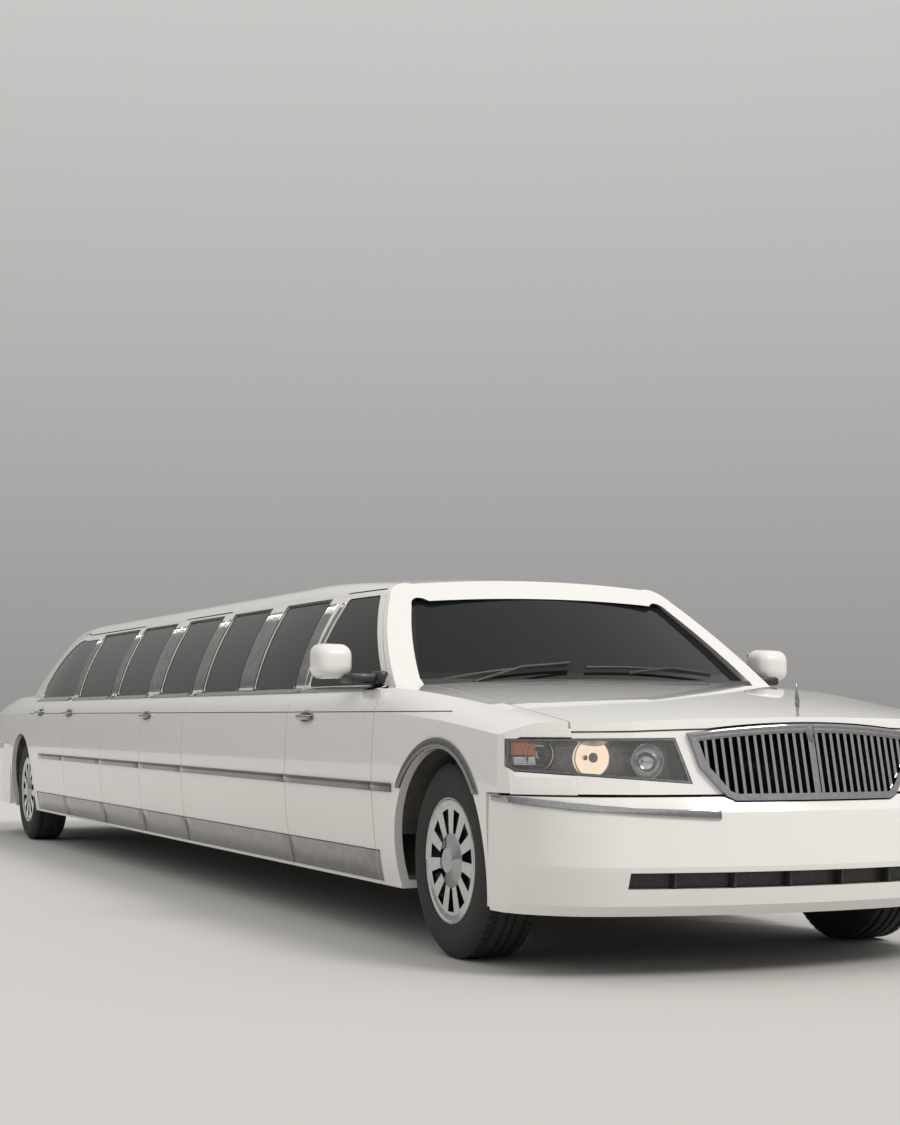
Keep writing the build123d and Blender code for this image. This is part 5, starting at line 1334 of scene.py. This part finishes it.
    def grille_top(self) -> None:
        """Makes the wide bright moulding over the grille and the wedge in its middle."""
        parts = []
        for low, high, proud in self.mouldings:
            rows = []
            for i in range(-10, 11):
                y = self.grille_half * i / 10
                top = self.grille_edge + self.grille_crown * (1 - (y / self.grille_half) ** 2)
                rows.append((nose_x(y, top) + proud, y, top + low))
            rise = high - low
            parts.append(ribbon("moulding", rows, (-NOSE_LEAN * rise, 0, rise), 0.006, 0.0015))
        top = self.grille_edge + self.grille_crown
        foot = self.wedge_foot
        wedge = rod("wedge", (nose_x(0, foot) + 0.016, 0, foot),
                    (nose_x(0, top) + 0.018, 0, top - 0.004), 0.004, 4, 0.020)
        fit(join("grille_top", [*parts, wedge]), CHROME)

    def ornament(self) -> None:
        """Makes a plain upright blade on a small foot."""
        x = front(0.850)
        foot = rod("foot", (x, 0, 0.850), (x, 0, 0.872), 0.017, end_radius=0.008)
        stem = rod("stem", (x, 0, 0.870), (x - 0.003, 0, 0.915), 0.0035, end_radius=0.0085)
        blade = rod("blade", (x - 0.003, 0, 0.915), (x - 0.008, 0, 0.975), 0.0085,
                    end_radius=0.0015)
        fit(join("hood_ornament", [foot, stem, blade]), CHROME, "hood")

    def cowl(self) -> None:
        """Blackens the sill under the windshield."""
        sill = sheet("cowl_trim", rectangle((-0.745, 0.745), (0.980, 1.012)), Facing.FRONT,
                     front(0.5), 0.03)
        fit(drape(sill, NODES["roof"], Facing.FRONT, 0.002, 0.0), BLACK)

    def wipers(self) -> None:
        """Lays two wiper arms with blades on the windshield."""
        steps = self.wiper_steps
        for number, (hub, tip, blade_end) in enumerate(self.wiper_points):
            arm = wire("arm", [on_screen(*hub, 0.02), on_screen((hub[0] + tip[0]) / 2, 0.08, 0.03),
                               on_screen(*tip, 0.022)], 0.006)
            line = [on_screen(tip[0] + (blade_end[0] - tip[0]) * i / steps,
                              tip[1] + (blade_end[1] - tip[1]) * i / steps, 0.012)
                    for i in range(steps + 1)]
            fit(join(f"wiper_{number}", [arm, wire("blade", line, 0.006)]), BLACK)


SCREEN_BASE = Vector((front(-0.560), 0, 1.010))
SCREEN_SLOPE = radians(33)
SCREEN_RADIUS = 3.150


def on_screen(y: float, up: float, lift: float) -> Point:
    """Gives a point over the windshield, by its distance across and up the slope."""
    along = Vector((-cos(SCREEN_SLOPE), 0, sin(SCREEN_SLOPE)))
    normal = Vector((sin(SCREEN_SLOPE), 0, cos(SCREEN_SLOPE)))
    drop = SCREEN_RADIUS - (SCREEN_RADIUS ** 2 - y * y) ** 0.5
    point = SCREEN_BASE + along * up + normal * (lift - drop)
    return (point.x, y, point.z)


def bowl_shell(name: str, place: Point, radius: float) -> bpy.types.Object:
    """Makes an open reflector bowl that faces forwards."""
    deselect()
    bpy.ops.mesh.primitive_uv_sphere_add(segments=36, ring_count=18, radius=radius * 0.985,
                                         location=place, rotation=(0, pi / 2, 0))
    piece = settle(name)
    edit(piece,
         lambda: bpy.ops.mesh.bisect(plane_co=place, plane_no=(1, 0, 0), clear_outer=True),
         whole,
         bpy.ops.mesh.flip_normals)
    modify(piece, "SOLIDIFY", thickness=0.002, offset=-1.0)
    smooth(piece, ROUND_ANGLE)
    return piece


@dataclass
class Mirrors:
    """Rounded mirror housings with their glass, and their black feet on the front doors."""

    x: Flat = (-1.030, -0.890)
    y: Flat = (0.932, 1.098)
    z: Flat = (1.012, 1.162)
    corner: float = 0.045
    taper: Point = (1, 0.86, 0.84)
    foot: list = field(default_factory=lambda: [
        (-0.772, 0.987), (-0.912, 0.987), (-0.912, 1.088)])

    def build(self) -> None:
        """Makes both mirrors."""
        for side in Side:
            self.mirror(side)

    def mirror(self, side: Side) -> None:
        """Makes one mirror: housing, glass, arm and foot."""
        sign, body = side.value, f"front_door_{side.word}"
        middle = (front(sum(self.x) / 2), sign * sum(self.y) / 2, sum(self.z) / 2)
        low, high = ((front(self.x[i]), sign * self.y[i], self.z[i]) for i in (0, 1))
        housing = box(f"mirror_housing_{side.word}", low, high)
        choose(housing, lambda vertex: vertex.co.x > middle[0])
        bpy.ops.transform.resize(value=self.taper, center_override=middle)
        bpy.ops.object.mode_set(mode="OBJECT")
        modify(housing, "BEVEL", width=self.corner, segments=6)
        smooth(housing, ROUND_ANGLE)
        fit(housing, PAINT, body)
        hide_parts(f"mirror_{side.word}")
        back = front(self.x[0])
        plate = block(f"mirror_glass_{side.word}", (back - 0.003, sign * (self.y[0] + 0.022),
                                                    self.z[0] + 0.020),
                      (back + 0.004, sign * (self.y[1] - 0.022), self.z[1] - 0.020), 0.0015)
        fit(plate, CHROME, body)
        sail = lay("sail", self.foot, side, 0.02, NODES[body], 0.012, 0.002)
        arm = block("arm", (front(-0.960), sign * 0.852, 0.998),
                    (front(-0.815), sign * 0.985, 1.036), 0.014)
        neck = block("neck", (front(-0.900), sign * 0.832, 0.990),
                     (front(-0.790), sign * 0.880, 1.046), 0.016)
        fit(join(f"mirror_foot_{side.word}", [sail, arm, neck]), BLACK, body)


@dataclass
class RearEnd:
    """Blank plate, bright strips, reversing lamps and the high brake lamp."""

    stand: float = rear(-1.6)
    plate_y: float = 0.155
    plate_z: Flat = (0.745, 0.835)
    strip_y: float = 0.640
    strip_z: Flat = (0.905, 0.922)
    reverse_y: Flat = (0.480, 0.640)
    reverse_z: Flat = (0.790, 0.850)
    bar_y: Flat = (0.675, 0.895)
    bar_z: Flat = (0.780, 0.842)
    bar_height: float = 0.006

    def panel(self, name: str, y: Flat, z: Flat, thick: float, target: str) -> bpy.types.Object:
        """Lays one upright panel on a node of the tail."""
        piece = sheet(name, rectangle(y, z), Facing.REAR, self.stand, 0.05)
        return drape(piece, NODES[target], Facing.REAR, thick, thick * 0.3)

    def build(self) -> None:
        """Makes all rear pieces."""
        y, (low, high) = self.plate_y, self.plate_z
        lid = "trunk_lid"
        fit(self.panel("trunk_strip", (-self.strip_y, self.strip_y), self.strip_z, 0.006, lid),
            CHROME, lid)
        fit(self.panel("plate_surround", (-y - 0.030, y + 0.030), (low - 0.022, high + 0.030),
                       0.004, lid), BLACK, lid)
        fit(self.panel("rear_plate", (-y, y), (low, high), 0.007, lid), PLATE, lid)
        for side in Side:
            reverse, bar = (tuple(sorted(side.value * edge for edge in edges))
                            for edges in (self.reverse_y, self.bar_y))
            fit(self.panel(f"reverse_lamp_{side.word}", reverse, self.reverse_z, 0.004, lid),
                REFLECTOR, lid)
            lamp = [self.panel("bar", bar, (z, z + self.bar_height), 0.003, "tail_lamps")
                    for z in self.bar_z]
            fit(join(f"tail_lamp_bars_{side.word}", lamp), CHROME)
        high_lamp = block("high_brake_lamp", (rear(-0.215), -0.160, 1.082),
                          (rear(-0.190), 0.160, 1.100), 0.003)
        fit(high_lamp, RED_LENS)


@dataclass
class Cabin:
    """Leather seats in front and in the lounge, and the inside mirror."""

    seat_y: float = 0.400
    seat_width: float = 0.520
    rest_half: float = 0.13
    bench_count: int = 6
    bench_ends: Flat = (-2.300, -5.900)
    bench_gap: float = 0.004
    rear_y: Point = (-0.425, 0.0, 0.425)
    rear_half: float = 0.21

    def build(self) -> None:
        """Makes every cushion and the inside mirror."""
        self.front_seats()
        self.lounge()
        mirror = block("inside_mirror", (front(-1.125), -0.125, 1.262),
                       (front(-1.105), 0.125, 1.322), 0.008)
        stalk = rod("stalk", (front(-1.110), 0, 1.300), (front(-1.060), 0, 1.322), 0.007)
        fit(join("inside_mirror", [mirror, stalk]), BLACK)

    def pad(self, name: str, low: Point, high: Point, lean: float = 0.0) -> bpy.types.Object:
        piece = fit(cushion(name, low, high, lean), LEATHER)
        return piece

    def front_seats(self) -> None:
        """Makes the driver's and the passenger's seat."""
        for side in Side:
            y = side.value * self.seat_y
            half = self.seat_width / 2
            base = self.pad(f"seat_base_{side.word}", (front(-1.530), y - half, 0.325),
                            (front(-1.060), y + half, 0.465))
            self.pad(f"seat_back_{side.word}", (front(-1.590), y - half, 0.440),
                     (front(-1.480), y + half, 1.000), -12.0)
            self.pad(f"headrest_{side.word}", (front(-1.700), y - self.rest_half, 1.020),
                     (front(-1.610), y + self.rest_half, 1.150))
            if side is Side.RIGHT:
                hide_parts("front_seats")

    def lounge(self) -> None:
        """Makes the long side bench and the rear bench."""
        start, end = (front(place) for place in self.bench_ends)
        step = (end - start) / self.bench_count
        for i in range(self.bench_count):
            x0, x1 = start + step * (i + 1) + self.bench_gap, start + step * i - self.bench_gap
            base = self.pad(f"bench_base_{i}", (x0, 0.430, 0.335), (x1, 0.770, 0.560))
            self.pad(f"bench_back_{i}", (x0, 0.715, 0.545), (x1, 0.832, 0.955))
            if i == 0:
                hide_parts("lounge_seats")
        for i, y in enumerate(self.rear_y):
            low, high = y - self.rear_half, y + self.rear_half
            self.pad(f"rear_base_{i}", (rear(0.640), low, 0.430), (rear(1.140), high, 0.565))
            self.pad(f"rear_back_{i}", (rear(0.490), low, 0.550), (rear(0.610), high, 1.010), -18.0)


def dress_nodes() -> None:
    """Gives every CAD node its finish."""
    for finish, nodes in NODE_FINISHES.items():
        for name in nodes:
            NODES[name].data.materials.clear()
            NODES[name].data.materials.append(finish.material())


def main() -> None:
    """Builds the scene in order."""
    logging.basicConfig(level=logging.INFO, format="%(message)s")
    bpy.context.scene.view_settings.view_transform = "Standard"
    Studio().build()
    dress_nodes()
    skin = make_skin()
    for side in Side:
        SideTrim(side, skin).build()
        Pillars(side, skin).build()
    DoorHandles(skin).build()
    FrontEnd().build()
    RearEnd().build()
    Mirrors().build()
    Cabin().build()
    for side in Side:
        for axle in ("front", "rear"):
            Wheel(f"{axle}_tyre_{side.word}", f"{axle}_wheel_{side.word}", side).build()
    bpy.data.objects.remove(skin)


if __name__ == "__main__":
    main()
